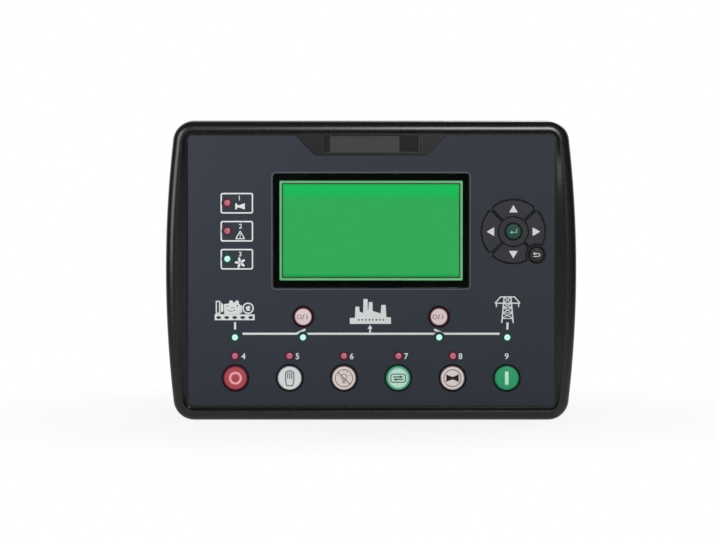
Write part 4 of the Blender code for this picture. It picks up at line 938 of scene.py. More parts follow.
floor_plate = plate("pocket_floor", beside_plate(FLOOR_END, pocket_mid, FLOOR_HEIGHT, 0.3 * MM),
                    FILM_FACE + POCKET_DEPTH - 0.06 * MM, FILM_FACE + POCKET_DEPTH, 0.02 * MM)
finished(floor_plate, socket_floor_abs, "controller", slot="bezel_plastic")
# The lip and the strip below are painted highlights on the pocket's edges.
LIP_X = 28.5 * MM               # just past the right end of the pocket
lip = [soft_rectangle(LIP_X, pocket_mid, 2.2 * MM, FLOOR_HEIGHT, 0.3 * MM),
       soft_rectangle(LIP_X, pocket_mid, 1.3 * MM, 8.8 * MM, 0.2 * MM)]
lip = plate("pocket_lip", lip, FILM_FACE - 0.25 * MM, FILM_FACE + 0.1 * MM, 0.12 * MM)
finished(lip, nameplate_pvc, "controller", slot="bare_plate")
edge_highlight_strips = beside_plate(LOWER_HIGHLIGHT_END, pocket_mid - 4.5 * MM, 0.6 * MM, 0.2 * MM)
edge_highlight_strips = plate("pocket_guides", edge_highlight_strips, FILM_FACE + 0.2 * MM, FILM_FACE + POCKET_DEPTH, 0.12 * MM)
finished(edge_highlight_strips, nameplate_pvc, "controller", slot="bare_plate")
print("film holes:", len(film_holes))

# %% [markdown]
# ## Display
#
# A clear acrylic window lies flush with the film. On its back it has a printed
# border, nearly black, then a thin pale line and a thin dark one; the dark one is
# painted shade along the display's edge. Through the window one sees the display
# glass, lit evenly from behind. It shows no text here: the upper rows are a little
# brighter, where the backlight's lamps are, and the lowest edge is painted darker as shade.

# %% Display finishes
LIT_HEIGHT = 52.6 * MM          # from the lowest to the highest lit row


def backlit_glass():
    """Emission that runs from a darker lower edge, painted shade, to the brighter rows at the top.
    """
    made, tree, shader = new_finish("backlit_display_glass", Roughness=0.25,
                                    Specular_IOR_Level=0.0)
    place = add(tree, "TexCoord").outputs["Object"]
    apart = add(tree, "SeparateXYZ", {"Vector": place})
    height = remap(tree, apart.outputs["Z"],
                   (window.z - LIT_HEIGHT / 2.0, window.z + LIT_HEIGHT / 2.0))
    ramp = add(tree, "ValToRGB", {"Fac": height})
    stops = ramp.color_ramp.elements
    # The darker lower edge is painted shade.
    stops[0].position, stops[0].color = 0.0, linear("#1c9c4a")
    stops[1].position, stops[1].color = 0.03, linear("#33ac59")
    for position, colour in ((0.83, "#33ac59"), (0.88, "#1fb859"), (0.975, "#18c05a"),
                             (1.0, "#25b85c")):
        stop = stops.new(position)
        stop.color = linear(colour)
    dots = add(tree, "TexChecker", {"Vector": place, "Scale": per_mm(0.8),
                                    "Color1": (0.97, 0.97, 0.97, 1.0),
                                    "Color2": (1.0, 1.0, 1.0, 1.0)})
    lit = add(tree, "Mix", {"Factor": 1.0, 6: ramp.outputs["Color"], 7: dots.outputs["Color"]},
              data_type="RGBA", blend_type="MULTIPLY")
    feed(tree, shader, {"Emission Color": lit.outputs[2], "Emission Strength": 0.97,
                        "Base Color": linear("#0c1f12")})
    return made


def backlit_line(name, colour, strength):
    """A printed line that the backlight shines through, a little uneven along its way."""
    made, tree, shader = new_finish(name, Roughness=0.4, Emission_Strength=strength)
    tone = remap(tree, noise(tree, 12.0), target=(0.85, 1.1))
    lit = add(tree, "VectorMath", {0: linear(colour)[:3], "Scale": tone}, operation="SCALE")
    feed(tree, shader, {"Emission Color": lit.outputs["Vector"],
                        "Base Color": linear("#101810")})
    return made


def clear_acrylic():
    """Clear acrylic. IOR 1.30 is below the real 1.49: an anti-glare coat mirrors less."""
    made, tree, shader = new_finish("clear_acrylic", IOR=1.30, Transmission_Weight=1.0,
                                    Base_Color=(1.0, 1.0, 1.0, 1.0))
    feed(tree, shader, {"Roughness": remap(tree, noise(tree, 20.0), target=(0.01, 0.05))})
    return made


display_green = backlit_glass()
# Ink on the back of the window: nearly black and with no sheen of its own.
border_ink = grained("border_ink", "#030906", "#060d09", 1.0, 0.002, (0.7, 0.8),
                     Specular_IOR_Level=0.0)
print("display finishes ready")

# %% [markdown]
# The pane is one thin plate. The border and its two lines are rings just behind it.

# %% Window and its printed border
pane = plate("display_window", [window_outline(0.0, 1.5 * MM)], FILM_FACE,
             WINDOW_BACK - 0.3 * MM, 0.1 * MM)
finished(pane, clear_acrylic(), "controller", "lcd_window", slot="display_window")
LINE_OUT, LINE_IN, SHADE_IN = (105.1, 57.2), (102.7, 54.8), (101.1, 53.2)


def border(name, outer, inner, finish, depth):
    ring = [soft_rectangle(window.x, window.z + 0.1 * MM, outer[0] * MM, outer[1] * MM, 0.8 * MM),
            soft_rectangle(window.x, window.z + 0.1 * MM, inner[0] * MM, inner[1] * MM, 0.5 * MM)]
    piece = plate(name, ring, WINDOW_BACK - 0.2 * MM + depth, WINDOW_BACK - 0.1 * MM + depth)
    return finished(piece, finish, "controller", slot="display_window")


border("window_border", (111.8, 65.1), LINE_OUT, border_ink, 0.0)
border("window_pale_line", LINE_OUT, LINE_IN, backlit_line("pale_line", "#74c486", 0.85), 0.0)
# The dark line is painted shade along the display's edge.
border("window_dark_line", LINE_IN, SHADE_IN, backlit_line("dark_line", "#0c4220", 0.8), 0.0)
# The film's edge stands up a little round the window and catches a thin line of light. Its colour
# is painted lighter than the film's as a highlight.
bead = [window_outline(2.6 * MM, 2.6 * MM), window_outline(1.4 * MM, 2.0 * MM)]
bead = plate("window_bead", bead, FILM_FACE - 0.3 * MM, FILM_FACE + 0.1 * MM, 0.19 * MM)
finished(bead, grained("window_bead_polyester", "#4c5056", "#565a61", 0.9, 0.004, (0.35, 0.45)),
         "controller", slot="overlay_film")
print("window", [round(v / MM, 1) for v in window_size])

# %% [markdown]
# Pieces that stay as the CAD has them need only a finish: the display's glass, frame,
# backlight and board here, then everything behind the panel.

# %% Display behind the window
def dress(finish, *names):
    """Give CAD nodes that stay visible a real finish."""
    for name in names:
        nodes[name].data.materials.clear()
        nodes[name].data.materials.append(finish)


dress(display_green, "lcd_glass")
dress(rolled_steel, "lcd_frame")
# Opal acrylic, milky white, spreads the backlight's lamps into an even sheet.
dress(grained("diffuser_acrylic", "#d9dedb", "#e8ecea", 3.0, 0.01, (0.45, 0.55)), "lcd_backlight")
dress(solder_mask_fr4, "lcd_board", "display_board", "main_board")
dress(keymat_silicone, "keypad_mat")
dress(epdm_foam, "panel_gasket")
dress(case_abs, "rear_housing")
dress(black_pbt, "board_link", "relay_1", "relay_2")
dress(blue_pbt, "current_transformer_1", "current_transformer_2", "current_transformer_3")
dress(nickel_plated_steel, "clock_battery", "usb_socket")
TERMINALS = ["mains_terminal", "generator_terminal", "input_terminal", "output_terminal"]
for name in TERMINALS:
    dress(header_polyamide, name + "_header")
    dress(plug_polyamide, name + "_plug")
for i in (1, 2, 3, 4):
    dress(zinc_plated_steel, f"fixing_clip_{i}", f"clip_screw_{i}", f"case_screw_{i}")
print("CAD pieces dressed")

# %% [markdown]
# ## Keys
#
# A round key is turned: a flat face, an eased edge, a straight side, and below the
# bezel a lip that stops it from coming out, and a plunger that reaches the board.

# %% Round keys
def round_cap(name):
    """Cap, lip and plunger in one turned profile, from the front to the board."""
    low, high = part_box(name)
    mid, radius = centre(name), cap_radius(name)
    lip_front = FLOOR_BACK + GAP
    soft = 0.8 * MM
    profile = [(0.0, low.y), (radius - soft - 1.0 * MM, low.y), (radius - soft, low.y + 0.08 * MM)]
    profile += [(radius - soft + soft * sin(a), low.y + 0.08 * MM + soft * (1.0 - cos(a)))
                for a in [pi / 2.0 * i / 7 for i in range(1, 8)]]
    profile += [(radius, lip_front), (radius + KEY_LIP, lip_front),
                (radius + KEY_LIP, lip_front + KEY_LIP),
                (PLUNGER_RADIUS, lip_front + KEY_LIP), (PLUNGER_RADIUS, high.y), (0.0, high.y)]
    return turned(name + "_cap", profile, mid.x, mid.z, 96)


def body_of(name):
    return name.replace("_key", "")


for name in round_names:
    finished(round_cap(name), KEY_FINISH[name], body_of(name), name)
print("round keys:", len(round_names))

# %% [markdown]
# Round each key the film is cut back by a millimetre, and a dull ring tinted like the
# key fills the gap: painted shade of the key's side in the gap. It stays still when
# the key goes in.

# %% Painted shade rings round the keys
def shade_ring(name, dark, light):
    """A dull ring in the gap round one cap, tinted like the key and with almost no sheen: painted
    shade of the cap's side.
    """
    mid, size = centre(name), cap_radius(name)
    outlines = [circle(mid.x, mid.z, size + KEY_RING - 0.06 * MM),
                circle(mid.x, mid.z, size + 0.22 * MM)]
    piece = plate(name.replace("_key", "_collar"), outlines, FILM_FACE + 0.15 * MM,
                  FLOOR_FRONT, 0.08 * MM)
    tint = grained(name.replace("_key", "_collar"), dark, light, 0.6, 0.004, (0.65, 0.75),
                   Specular_IOR_Level=0.08)
    finished(piece, tint, "controller", slot="silicone")


# Dark tints of each key's colour, painted as the shade in its gap.
for name, dark, light in (("stop_key", "#34101a", "#3f1622"), ("manual_key", "#0c0d0f", "#131416"),
                          ("test_key", "#170d10", "#1f1316"), ("auto_key", "#051e16", "#09291f"),
                          ("mute_key", "#120b0d", "#191013"), ("start_key", "#041b14", "#07241b"),
                          ("generator_breaker_key", "#2a0d14", "#35131b"),
                          ("mains_breaker_key", "#2a0d14", "#35131b")):
    shade_ring(name, dark, light)
print("collars: 8")

# %% [markdown]
# The arrow keys are quarters of a ring. Each one starts as a prism of its outline,
# and a bevel eases its edges. The lower right two are bitten by the escape key.
# Their outer corners are round, and the film runs a little way in between them.

# %% Arrow keys
PAD_SLIT = 1.5 * MM


def arrow_key(name, facing):
    low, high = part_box(name)
    lip_front = FLOOR_BACK + GAP
    cap = sector(facing, PAD_SLIT, PAD_RIM, PAD_OUTER, KEEP_OUT)
    key = soften(prism(name + "_cap", cap, low.y, lip_front + MM), 0.35 * MM)
    lip = sector(facing, PAD_SLIT + 2.0 * GAP, PAD_RIM - 0.9 * MM, PAD_OUTER + KEY_LIP,
                 KEEP_OUT + 0.2 * MM)
    join(key, prism("lip", lip, lip_front, lip_front + KEY_LIP))
    x = pad.x + PAD_ARM * cos(radians(facing))
    z = pad.z + PAD_ARM * sin(radians(facing))
    plunger = circle(x, z, PLUNGER_RADIUS, 32)
    return join(key, prism("plunger", plunger, lip_front + 0.6 * MM, high.y))


# The ring round the centre key has the same satin coat as the arrow keys.
hub_face = [circle(pad.x, pad.z, PAD_RIM - 0.5 * MM), circle(pad.x, pad.z, 5.4 * MM)]
hub_face = plate("pad_hub_face", hub_face, FILM_FACE - 0.08 * MM, FILM_FACE + 0.02 * MM)
finished(hub_face, graphite, "controller", slot="bezel_plastic")
for name, facing in PAD_KEYS.items():
    finished(arrow_key(name, facing), KEY_FINISH[name], body_of(name), name, slot="key_dark")
print("arrow keys:", len(PAD_KEYS))

# %% [markdown]
# ## Lights
#
# Each light is the end of a clear acrylic guide that carries the light of a chip on
# the board to the front. The red ones glow dimly, the green ones brightly. Round each
# one the glow is painted on the film as a tinted ring that fades outwards over about 1.5 mm.

# %% Light finishes
def glowing_acrylic(name, core, edge, strength):
    """The end of a lit guide: an even glow with slightly deeper spots."""
    made, tree, shader = new_finish(name, Roughness=0.35, Emission_Strength=strength)
    tone = blend(tree, linear(edge), linear(core), noise(tree, 1.5))
    feed(tree, shader, {"Emission Color": tone, "Base Color": linear("#303030")})
    return made


def painted_glow(name, near, far):
    """Painted glow: a ring round one light, from a tinted inner edge to the film's own slate."""
    made, tree, shader = new_finish(name, Roughness=0.55, Specular_IOR_Level=0.18)
    place = add(tree, "TexCoord").outputs["Object"]
    away = add(tree, "VectorMath", {0: place}, operation="LENGTH")
    fade = remap(tree, away.outputs["Value"], (2.3 * MM, HALO_RADIUS))
    feed(tree, shader, {"Base Color": blend(tree, linear(near), linear(far), fade)})
    return made


HALO_START, HALO_RADIUS = 1.7 * MM, 3.4 * MM
FILM_SLATE = "#2e323a"          # the film's tone next to a light
RED = {"core": glowing_acrylic("red_light_guide", "#c86a82", "#b05066", 0.8),
       "halo": painted_glow("red_halo_ink", "#4a122b", FILM_SLATE)}
GREEN = {"core": glowing_acrylic("green_light_guide", "#d2fff2", "#b6f3de", 0.95),
         "halo": painted_glow("green_halo_ink", "#0e423a", FILM_SLATE)}
print("halo radius", round(HALO_RADIUS / MM, 1), "mm")

# %% [markdown]
# The three status lights share one guide but not one colour, so its pins are made in
# two pieces. A halo keeps its own middle as its origin, which centres its fade.

# %% Light guides and halos
def pin(x, z, front):
    """One light: a slightly domed end and a straight pin down to the bar."""
    profile = [(0.0, front - 0.12 * MM), (0.8 * MM, front - 0.1 * MM),
               (1.5 * MM, front - 0.02 * MM), (LIGHT_RADIUS, front + 0.2 * MM),
               (LIGHT_RADIUS, FLOOR_BACK + MM), (0.0, FLOOR_BACK + MM)]
    return turned("pin", profile, x, z, 40)


def guide(name, cad_name, places, finish, rear_bar=True):
    parts = [pin(x, z, FILM_FACE) for x, z in places]
    if rear_bar:
        low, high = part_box(cad_name)
        spine = soft_rectangle((low.x + high.x) / 2, (low.z + high.z) / 2, high.x - low.x,
                               high.z - low.z, MM)
        parts.append(plate("spine", [spine], FLOOR_BACK + GAP, FLOOR_BACK + 2.3 * MM))
    piece = merged(name, parts)
    replaced = [cad_name] if rear_bar else []
    return finished(piece, finish, "controller", *replaced, slot="light_guide")


def halo(name, x, z, finish):
    ring = [circle(0.0, 0.0, HALO_RADIUS, 48), circle(0.0, 0.0, HALO_START, 40)]
    piece = show(name, filled(ring, 0.03 * MM, FRONT_VIEW))
    piece.location = (x, FILM_FACE - 0.02 * MM, z)
    bpy.context.view_layer.update()
    return finished(piece, finish, "controller", slot="overlay_film")


guide("status_guide_red", "status_light_guide", status_lights[:2], RED["core"])
guide("status_guide_green", "status_light_guide", status_lights[2:], GREEN["core"], False)
guide("mimic_guide", "mimic_light_guide", mimic_lights, GREEN["core"])
guide("mode_guide", "mode_light_guide", mode_lights, RED["core"])
for i, (x, z) in enumerate(status_lights[:2] + mode_lights):
    halo(f"red_halo_{i + 1}", x, z, RED["halo"])
for i, (x, z) in enumerate(status_lights[2:] + mimic_lights):
    halo(f"green_halo_{i + 1}", x, z, GREEN["halo"])

# %% [markdown]
# ## Printed symbols
#
# On the real film the symbols are screen-printed in white. Here each print is a
# layer of ink 0.03 mm thick on the film or on a key. All of them are plain signs of
# the trade: a generating set, a factory, a pylon, a switch line, a horn, a hand.
# Where the photograph has words, this part has plain numbers.

# %% Ink helpers
INK = 0.03 * MM
INK_STEP = 0.002 * MM           # so that lines that cross don't share a face


def moved(points, x, z, size=1.0):
    return [(x + u * size, z + v * size) for u, v in points]


def ink(name, shapes, finish, body="controller", face=FILM_FACE, x=0.0, z=0.0, slot="overlay_film"):
    """Each shape is an outline in mm with its holes, measured from (x, z)."""
    parts = []
    for i, shape in enumerate(shapes):
        front = face - INK - i * INK_STEP
        parts.append(plate("ink", [moved(outline, x, z, MM) for outline in shape], front, face))
    return finished(merged(name, parts), finish, body, slot=slot)


def figures(text, left, low, height):
    """Flat mesh of a plain number in Blender's own font, in mm."""
    curve = bpy.data.curves.new("figures", "FONT")
    curve.body = text
    curve.offset = 0.018
    drawn = show("figures", curve)
    bpy.context.view_layer.update()
    mesh = bpy.data.meshes.new_from_object(drawn)
    bpy.data.objects.remove(drawn, do_unlink=True)
    xs = [v.co.x for v in mesh.vertices]
    ys = [v.co.y for v in mesh.vertices]
    scale = height / (max(ys) - min(ys))
    placed = (Matrix.Translation((left - min(xs) * scale, low - min(ys) * scale, 0.0))
              @ Matrix.Scale(scale, 4))
    mesh.transform(placed)
    return mesh


def number(name, text, left, low, height, finish, face=FILM_FACE):
    """A number as ink on the film. left, low and height are in mm."""
    mesh = figures(text, left, low, height)
    mesh.transform(Matrix.Translation((0.0, face - INK, 0.0)) @ FRONT_VIEW @ Matrix.Scale(MM, 4))
    piece = show(name, mesh)
    thick = piece.modifiers.new("ink_layer", "SOLIDIFY")
    thick.thickness = INK
    thick.offset = -1.0
    return finished(applied(piece), finish, "controller", slot="overlay_film")


def ring(x, z, radius, width, steps=56):
    return [circle(x, z, radius, steps), circle(x, z, radius - width, steps)]


def turned_points(points, angle, x=0.0, z=0.0):
    a = radians(angle)
    return [(x + u * cos(a) - v * sin(a), z + u * sin(a) + v * cos(a)) for u, v in points]


print("ink layer", INK / MM, "mm")

# %% [markdown]
# Each status light sits at the left of a rounded frame with a number and a sign.

# %% Status boxes
def horn(x, z):
    """A small box with a flared bell to its right."""
    return moved([(-2.8, -1.75), (-1.8, -1.75), (-1.8, -0.7), (-0.4, -0.7), (2.7, -1.85),
                  (2.7, 1.85), (-0.4, 0.7), (-1.8, 0.7), (-1.8, 1.75), (-2.8, 1.75)], x, z)


def triangle_sign(x, z):
    """A warning triangle with a bar and a dot inside."""
    edge = moved([(-3.0, -2.5), (3.0, -2.5), (0.0, 2.7)], x, z)
    inner = moved([(-2.0, -1.95), (2.0, -1.95), (0.0, 1.6)], x, z)
    mark = moved([(-0.28, 0.75), (-0.18, -0.75), (0.18, -0.75), (0.28, 0.75)], x, z)
    return [[rounded(edge, 0.4, 4), inner], [mark], [circle(x, z - 1.3, 0.3, 14)]]


def fan_sign(x, z):
    """Five blades round a small ring, for running."""
    blade = [(0.55, -0.35), (1.7, -0.95), (3.0, -0.75), (3.2, 0.1), (2.2, 0.55), (0.9, 0.5)]
    blades = [[turned_points(rounded(blade, 0.35, 4), 38.0 + 72.0 * i, x, z)] for i in range(5)]
    return blades + [ring(x, z, 0.75, 0.35, 20)]


BOX_WIDTH, BOX_HEIGHT, BOX_LINE = 18.7, 11.9, 0.8
BOX_RIGHT = 5.5                 # box middle to the right of its light
boxes, signs = [], []
for i, (x, z) in enumerate(status_lights):
    mid_x, mid_z = x / MM + BOX_RIGHT, z / MM - 0.2
    outer = soft_rectangle(mid_x, mid_z, BOX_WIDTH, BOX_HEIGHT, 1.2, 5)
    inner = soft_rectangle(mid_x, mid_z, BOX_WIDTH - 2 * BOX_LINE,
                           BOX_HEIGHT - 2 * BOX_LINE, 0.6, 5)
    boxes.append([outer, inner])
    number(f"status_number_{i + 1}", str(i + 1), mid_x + 1.2, mid_z + 1.6, 2.7, white_ink)
    sign_x, sign_z = mid_x + 1.9, mid_z - 2.0
    if i == 0:
        signs.append([horn(sign_x, sign_z + 0.2)])
    elif i == 1:
        signs += triangle_sign(sign_x, sign_z - 0.1)
    else:
        signs += fan_sign(sign_x, sign_z)
ink("status_boxes", boxes, white_ink)
ink("status_signs", signs, white_ink)
print("status boxes:", len(boxes))

# %% [markdown]
# The sign of the generating set is about 23 mm wide: skid, radiator, engine and
# alternator, with the engine's ribs left open.

# %% Generating set
def generating_set(x, z):
    """Radiator, engine and alternator on a skid, seen from the side. x, z is the lower left."""
    skid = [rectangle(11.5, 1.7, 23.0, 3.4)]
    skid += [ellipse(2.3 + 4.6 * i, 1.55, 1.35, 0.85) for i in range(5)]
    radiator = [rectangle(1.9, 7.4, 2.6, 7.6), rectangle(1.9, 7.4, 1.2, 6.2)]
    cowl = [[(3.5, 4.4), (5.0, 5.2), (5.0, 8.9), (3.5, 10.4)]]
    engine = [[(5.4, 3.5), (14.6, 3.5), (14.6, 8.9), (13.9, 9.5), (13.9, 11.0), (12.4, 11.5),
               (11.6, 10.3), (10.6, 10.3), (10.0, 11.5), (8.5, 11.2), (8.3, 9.7), (5.4, 9.2)],
              stroke([(6.6, 8.2), (8.4, 8.0)], 0.35), stroke([(9.2, 6.9), (11.5, 7.2)], 0.35),
              stroke([(7.0, 6.0), (9.4, 4.9), (12.0, 6.0)], 0.35), circle(13.0, 8.2, 0.5, 14)]
    neck = [rectangle(15.2, 6.4, 1.0, 4.4)]
    alternator = ring(19.2, 6.9, 3.3, 0.8)
    core = [[(17.7, 7.4), (19.6, 8.5), (20.8, 7.2), (19.8, 6.9), (20.6, 5.6), (18.6, 5.3)]]
    shapes = [skid, radiator, cowl, engine, neck, alternator, core]
    return [[moved(outline, x, z) for outline in shape] for shape in shapes]


ink("generating_set_sign", generating_set(mimic_lights[0][0] / MM - 11.6, -28.5), white_ink)

# %% [markdown]
# The load is drawn as a works with four chimneys and a row of small windows.

# %% Factory
def factory(x, z):
    """Chimneys, saw-tooth roof and a row of small windows. x, z is the middle of the base."""
    outline = [(-11.8, 0.0), (11.8, 0.0), (11.8, 3.8), (9.2, 3.8), (8.8, 10.9), (6.3, 10.9),
               (5.9, 6.0), (1.3, 7.4), (1.2, 12.6), (-0.9, 12.6), (-1.2, 8.0), (-1.5, 8.0),
               (-1.6, 14.3), (-4.0, 14.3), (-4.2, 6.2), (-6.2, 7.1), (-6.4, 9.9), (-8.6, 9.9),
               (-8.9, 3.4), (-11.8, 3.4)]
    windows = [rectangle(-6.6 + 2.0 * i, 2.3, 0.75, 1.0) for i in range(8)]
    return [[moved(shape, x, z) for shape in [outline] + windows]]


ink("factory_sign", factory(-0.4, -30.6), white_ink)

# %% [markdown]
# The mains supply is a lattice mast. Where lines cross, `ink` sets each one 0.002 mm
# above the last, so that no two faces lie in one plane.

# %% Pylon
def pylon(x, z):
    """A lattice mast with two arms, drawn in single lines. x, z is the middle of the feet."""
    lines = [[(-3.3, 0.0), (-2.5, 9.0), (-1.9, 15.0)], [(3.3, 0.0), (2.5, 9.0), (1.9, 15.0)],
             [(-7.2, 11.4), (7.2, 11.4)], [(-7.2, 11.4), (-4.0, 15.0), (4.0, 15.0), (7.2, 11.4)],
             [(-6.4, 11.4), (-6.4, 9.2)], [(6.4, 11.4), (6.4, 9.2)],
             [(-3.1, 2.6), (3.1, 2.6)], [(-2.8, 5.8), (2.8, 5.8)], [(-2.5, 8.8), (2.5, 8.8)],
             [(-3.0, 2.8), (2.7, 5.7)], [(3.0, 2.8), (-2.7, 5.7)],
             [(-2.8, 5.9), (2.4, 8.7)], [(2.8, 5.9), (-2.4, 8.7)],
             [(-2.4, 8.9), (2.1, 11.3)], [(2.4, 8.9), (-2.1, 11.3)],
             [(-2.1, 11.5), (1.8, 14.9)], [(2.1, 11.5), (-1.8, 14.9)]]
    widths = [0.75] * 2 + [0.7] * 4 + [0.5] * 11
    return [[moved(stroke(line, width), x, z)] for line, width in zip(lines, widths)]


ink("pylon_sign", pylon(mimic_lights[3][0] / MM + 0.1, -30.1), white_ink)

# %% [markdown]
# The line joins the three signs and has an open switch above each of the two middle
# lights.

# %% Switch line
LINE_Z = -36.3
LINE_WIDTH = 1.25


def switch_line():
    """The one-line diagram: busbar, two open switches and the stubs of the three signs."""
    bar_from, bar_to = mimic_lights[0][0] / MM + 4.4, mimic_lights[3][0] / MM - 4.4
    left, right = mimic_lights[1][0] / MM, mimic_lights[2][0] / MM
    lines = [[(bar_from, LINE_Z), (left - 3.9, LINE_Z), (left + 1.4, LINE_Z + 2.5)],
             [(left + 1.4, LINE_Z), (right - 2.3, LINE_Z)],
             [(right - 2.9, LINE_Z + 2.5), (right + 2.3, LINE_Z), (bar_to, LINE_Z)],
             [(mimic_lights[0][0] / MM + 0.1, -29.6), (mimic_lights[0][0] / MM + 0.1, -33.8)],
             [(mimic_lights[3][0] / MM + 0.1, -29.8), (mimic_lights[3][0] / MM + 0.1, -33.9)]]
    shapes = [[stroke(line, LINE_WIDTH)] for line in lines]
    shapes.append([stroke([(-0.6, LINE_Z + 0.7), (-0.6, -33.2)], 1.0)])
    shapes.append([[(-2.0, -33.4), (0.8, -33.4), (-0.6, -31.2)]])
    return shapes


ink("switch_line", switch_line(), white_ink)

# %% [markdown]
# Numbers 4 to 8 stand right of the lights above the keys. The last key has no light,
# so its number stands in the middle.

# %% Numbers of the key row
NUMBER_HEIGHT = 3.5
for i, x in enumerate(row_x):
    left = x / MM + (3.4 if i < 5 else -1.1)
    number(f"row_number_{i + 4}", str(i + 4), left, -51.0, NUMBER_HEIGHT, white_ink)
print("numbers 1 to 9")

# %% [markdown]
# The signs on the keys ride on the keys, so they travel with them. Each sign is
# drawn about the middle of its cap.

# %% Signs on the round keys
def hand():
    """A raised hand in outline, its fingers close together."""
    outer = [(-1.9, -4.7), (1.9, -4.7), (2.7, -1.6), (2.7, 3.1), (1.7, 4.1), (0.3, 4.6),
             (-1.7, 4.3), (-2.7, 3.0), (-2.7, -1.6)]
    inner = [(-1.5, -4.1), (1.5, -4.1), (2.1, -1.5), (2.1, 2.9), (1.4, 3.6), (0.2, 4.0),
             (-1.4, 3.7), (-2.1, 2.8), (-2.1, -1.5)]
    shapes = [[rounded(outer, 0.7, 5), rounded(inner, 0.5, 5)]]
    for u, top in ((-1.1, 3.3), (0.05, 3.7), (1.15, 3.3)):
        shapes.append([rounded(stroke([(u, -0.4), (u, top)], 0.55), 0.2, 3)])
    return shapes


def lamp_test():
    """A lamp crossed by a line, in a thin ring."""
    bulb = [(1.9 * cos(radians(a)), 0.7 + 1.9 * sin(radians(a))) for a in range(-50, 231, 14)]
    inner = [(1.5 * cos(radians(a)), 0.7 + 1.5 * sin(radians(a))) for a in range(-40, 221, 13)]
    shapes = [ring(0.0, 0.0, 5.2, 0.45), [bulb, inner], [rectangle(0.0, -1.6, 1.8, 0.6)],
              [rectangle(0.0, -2.6, 1.6, 0.6)], [stroke([(-3.6, 3.6), (3.6, -3.6)], 0.6)]]
    shapes += [[stroke([(r * cos(a), 0.7 + r * sin(a)) for r in (3.0, 3.9)], 0.4)]
               for a in (radians(12), radians(168), radians(58), radians(90))]
    return shapes


def change_over():
    """Two opposite arrows in a rounded frame, for automatic running."""
    outer, inner = soft_rectangle(0, 0, 9.0, 5.2, 1.5, 6), soft_rectangle(0, 0, 7.9, 4.1, 1.0, 6)
    arrow = [(-2.9, 0.35), (1.0, 0.35), (1.0, -0.05), (2.9, 0.8), (1.0, 1.65), (1.0, 1.05),
             (-2.9, 1.05)]
    return [[outer, inner], [arrow], [turned_points(arrow, 180.0)]]


def mute_horn():
    """A horn with a bell at both ends, in a thin ring."""
    bell = [(-3.6, -2.2), (-1.4, -1.15), (0.0, -0.8), (1.4, -1.15), (3.6, -2.3),
            (3.6, 2.3), (1.4, 1.15), (0.0, 0.8), (-1.4, 1.15), (-3.6, 2.2)]
    return [ring(0.0, 0.0, 5.1, 0.4), [bell]]


def on_off():
    """Ring and bar with a stroke between, for opening and closing a breaker."""
    return [ring(-2.3, 0.0, 1.35, 0.4, 28), [stroke([(-0.6, -1.7), (0.6, 1.7)], 0.4)],
            [rectangle(2.2, 0.0, 0.5, 2.7)]]


def enter_arrow():
    """An arrow that comes down and turns to the left."""
    return [[stroke([(1.9, 1.7), (1.9, -0.4), (-0.6, -0.4)], 0.55)],
            [[(-2.3, -0.4), (-0.6, -1.4), (-0.6, 0.6)]]]


def back_arrow():
    """An arrow that turns back on itself."""
    bend = [(1.1 + 0.8 * cos(radians(a)), 0.8 * sin(radians(a))) for a in range(-90, 91, 15)]
    hook = [(-1.9, -0.8)] + bend + [(-0.8, 0.8)]
    return [[stroke(hook, 0.45)], [[(-2.3, 0.8), (-0.8, 0.0), (-0.8, 1.6)]]]


KEY_SIGNS = {
    "stop_key": ([ring(0.0, 0.0, 3.7, 1.3)], pale_red_ink),
    "manual_key": (hand(), grey_ink), "test_key": (lamp_test(), rose_ink),
    "auto_key": (change_over(), deep_green_ink), "mute_key": (mute_horn(), dark_ink),
    "start_key": ([[soft_rectangle(0.0, 0.0, 2.1, 7.7, 0.3)]], pale_green_ink),
    "generator_breaker_key": (on_off(), rose_ink), "mains_breaker_key": (on_off(), rose_ink),
    "enter_key": (enter_arrow(), mint_ink), "escape_key": (back_arrow(), white_ink),
}


def slot_of(node):
    rows = frame["record"]["subparts"]
    return next(row["material_slot"] for row in rows if row["node"] == node)


for name, (shapes, finish) in KEY_SIGNS.items():
    mid = centre(name)
    ink(name.replace("_key", "_sign"), shapes, finish, body_of(name), KEY_FACE, mid.x, mid.z,
        slot_of(name))
ARROW = [(0.0, 0.0), (-4.3, 2.5), (-4.3, -2.5)]
ARROW_TIP = 2.15                # mm beyond the middle of the key
for name, facing in PAD_KEYS.items():
    east, north = cos(radians(facing)), sin(radians(facing))
    arrow = turned_points(ARROW, facing, ARROW_TIP * east, ARROW_TIP * north)
    ink(name.replace("_key", "_sign"), [[arrow]], white_ink, body_of(name), KEY_FACE,
        pad.x + PAD_ARM * east, pad.z + PAD_ARM * north, slot_of(name))
print("key signs:", len(KEY_SIGNS) + len(PAD_KEYS))

# %% [markdown]
# ## Terminals
#
# Behind the panel, eight- and thirteen-way plugs carry the wires. Each way has a
# square entry with a tinned clamp inside, and a slotted screw in the side of the plug
# that tightens it. The screws are one small head, turned once, slotted with a
# Boolean and then set at every way.

# %% Clamp screws and clamps
PITCH = {"mains_terminal": (8, 7.62), "generator_terminal": (8, 7.62),
         "input_terminal": (13, 5.08), "output_terminal": (13, 5.08)}
WIRE_DEPTH = 6.0 * MM
SCREW_DEPTH = 4.6 * MM          # from the plug's rear face to its screws
CLAMP_SIZE, CLAMP_WIDE, CLAMP_HIGH = 3.1 * MM, 2.2 * MM, 1.5 * MM


def slotted_head(radius, height, slot):
    """A screw head at the origin, facing -Y."""
    ease = 0.15 * radius
    head = turned("head", [(0.0, -height), (radius - ease, -height), (radius, -height + ease),
                           (radius, 0.0), (0.0, 0.0)], 0.0, 0.0, 28)
    groove = rectangle(0.0, 0.0, 3.0 * radius, slot)
    return cut(head, prism("groove", groove, -2.0 * height, -0.45 * height))


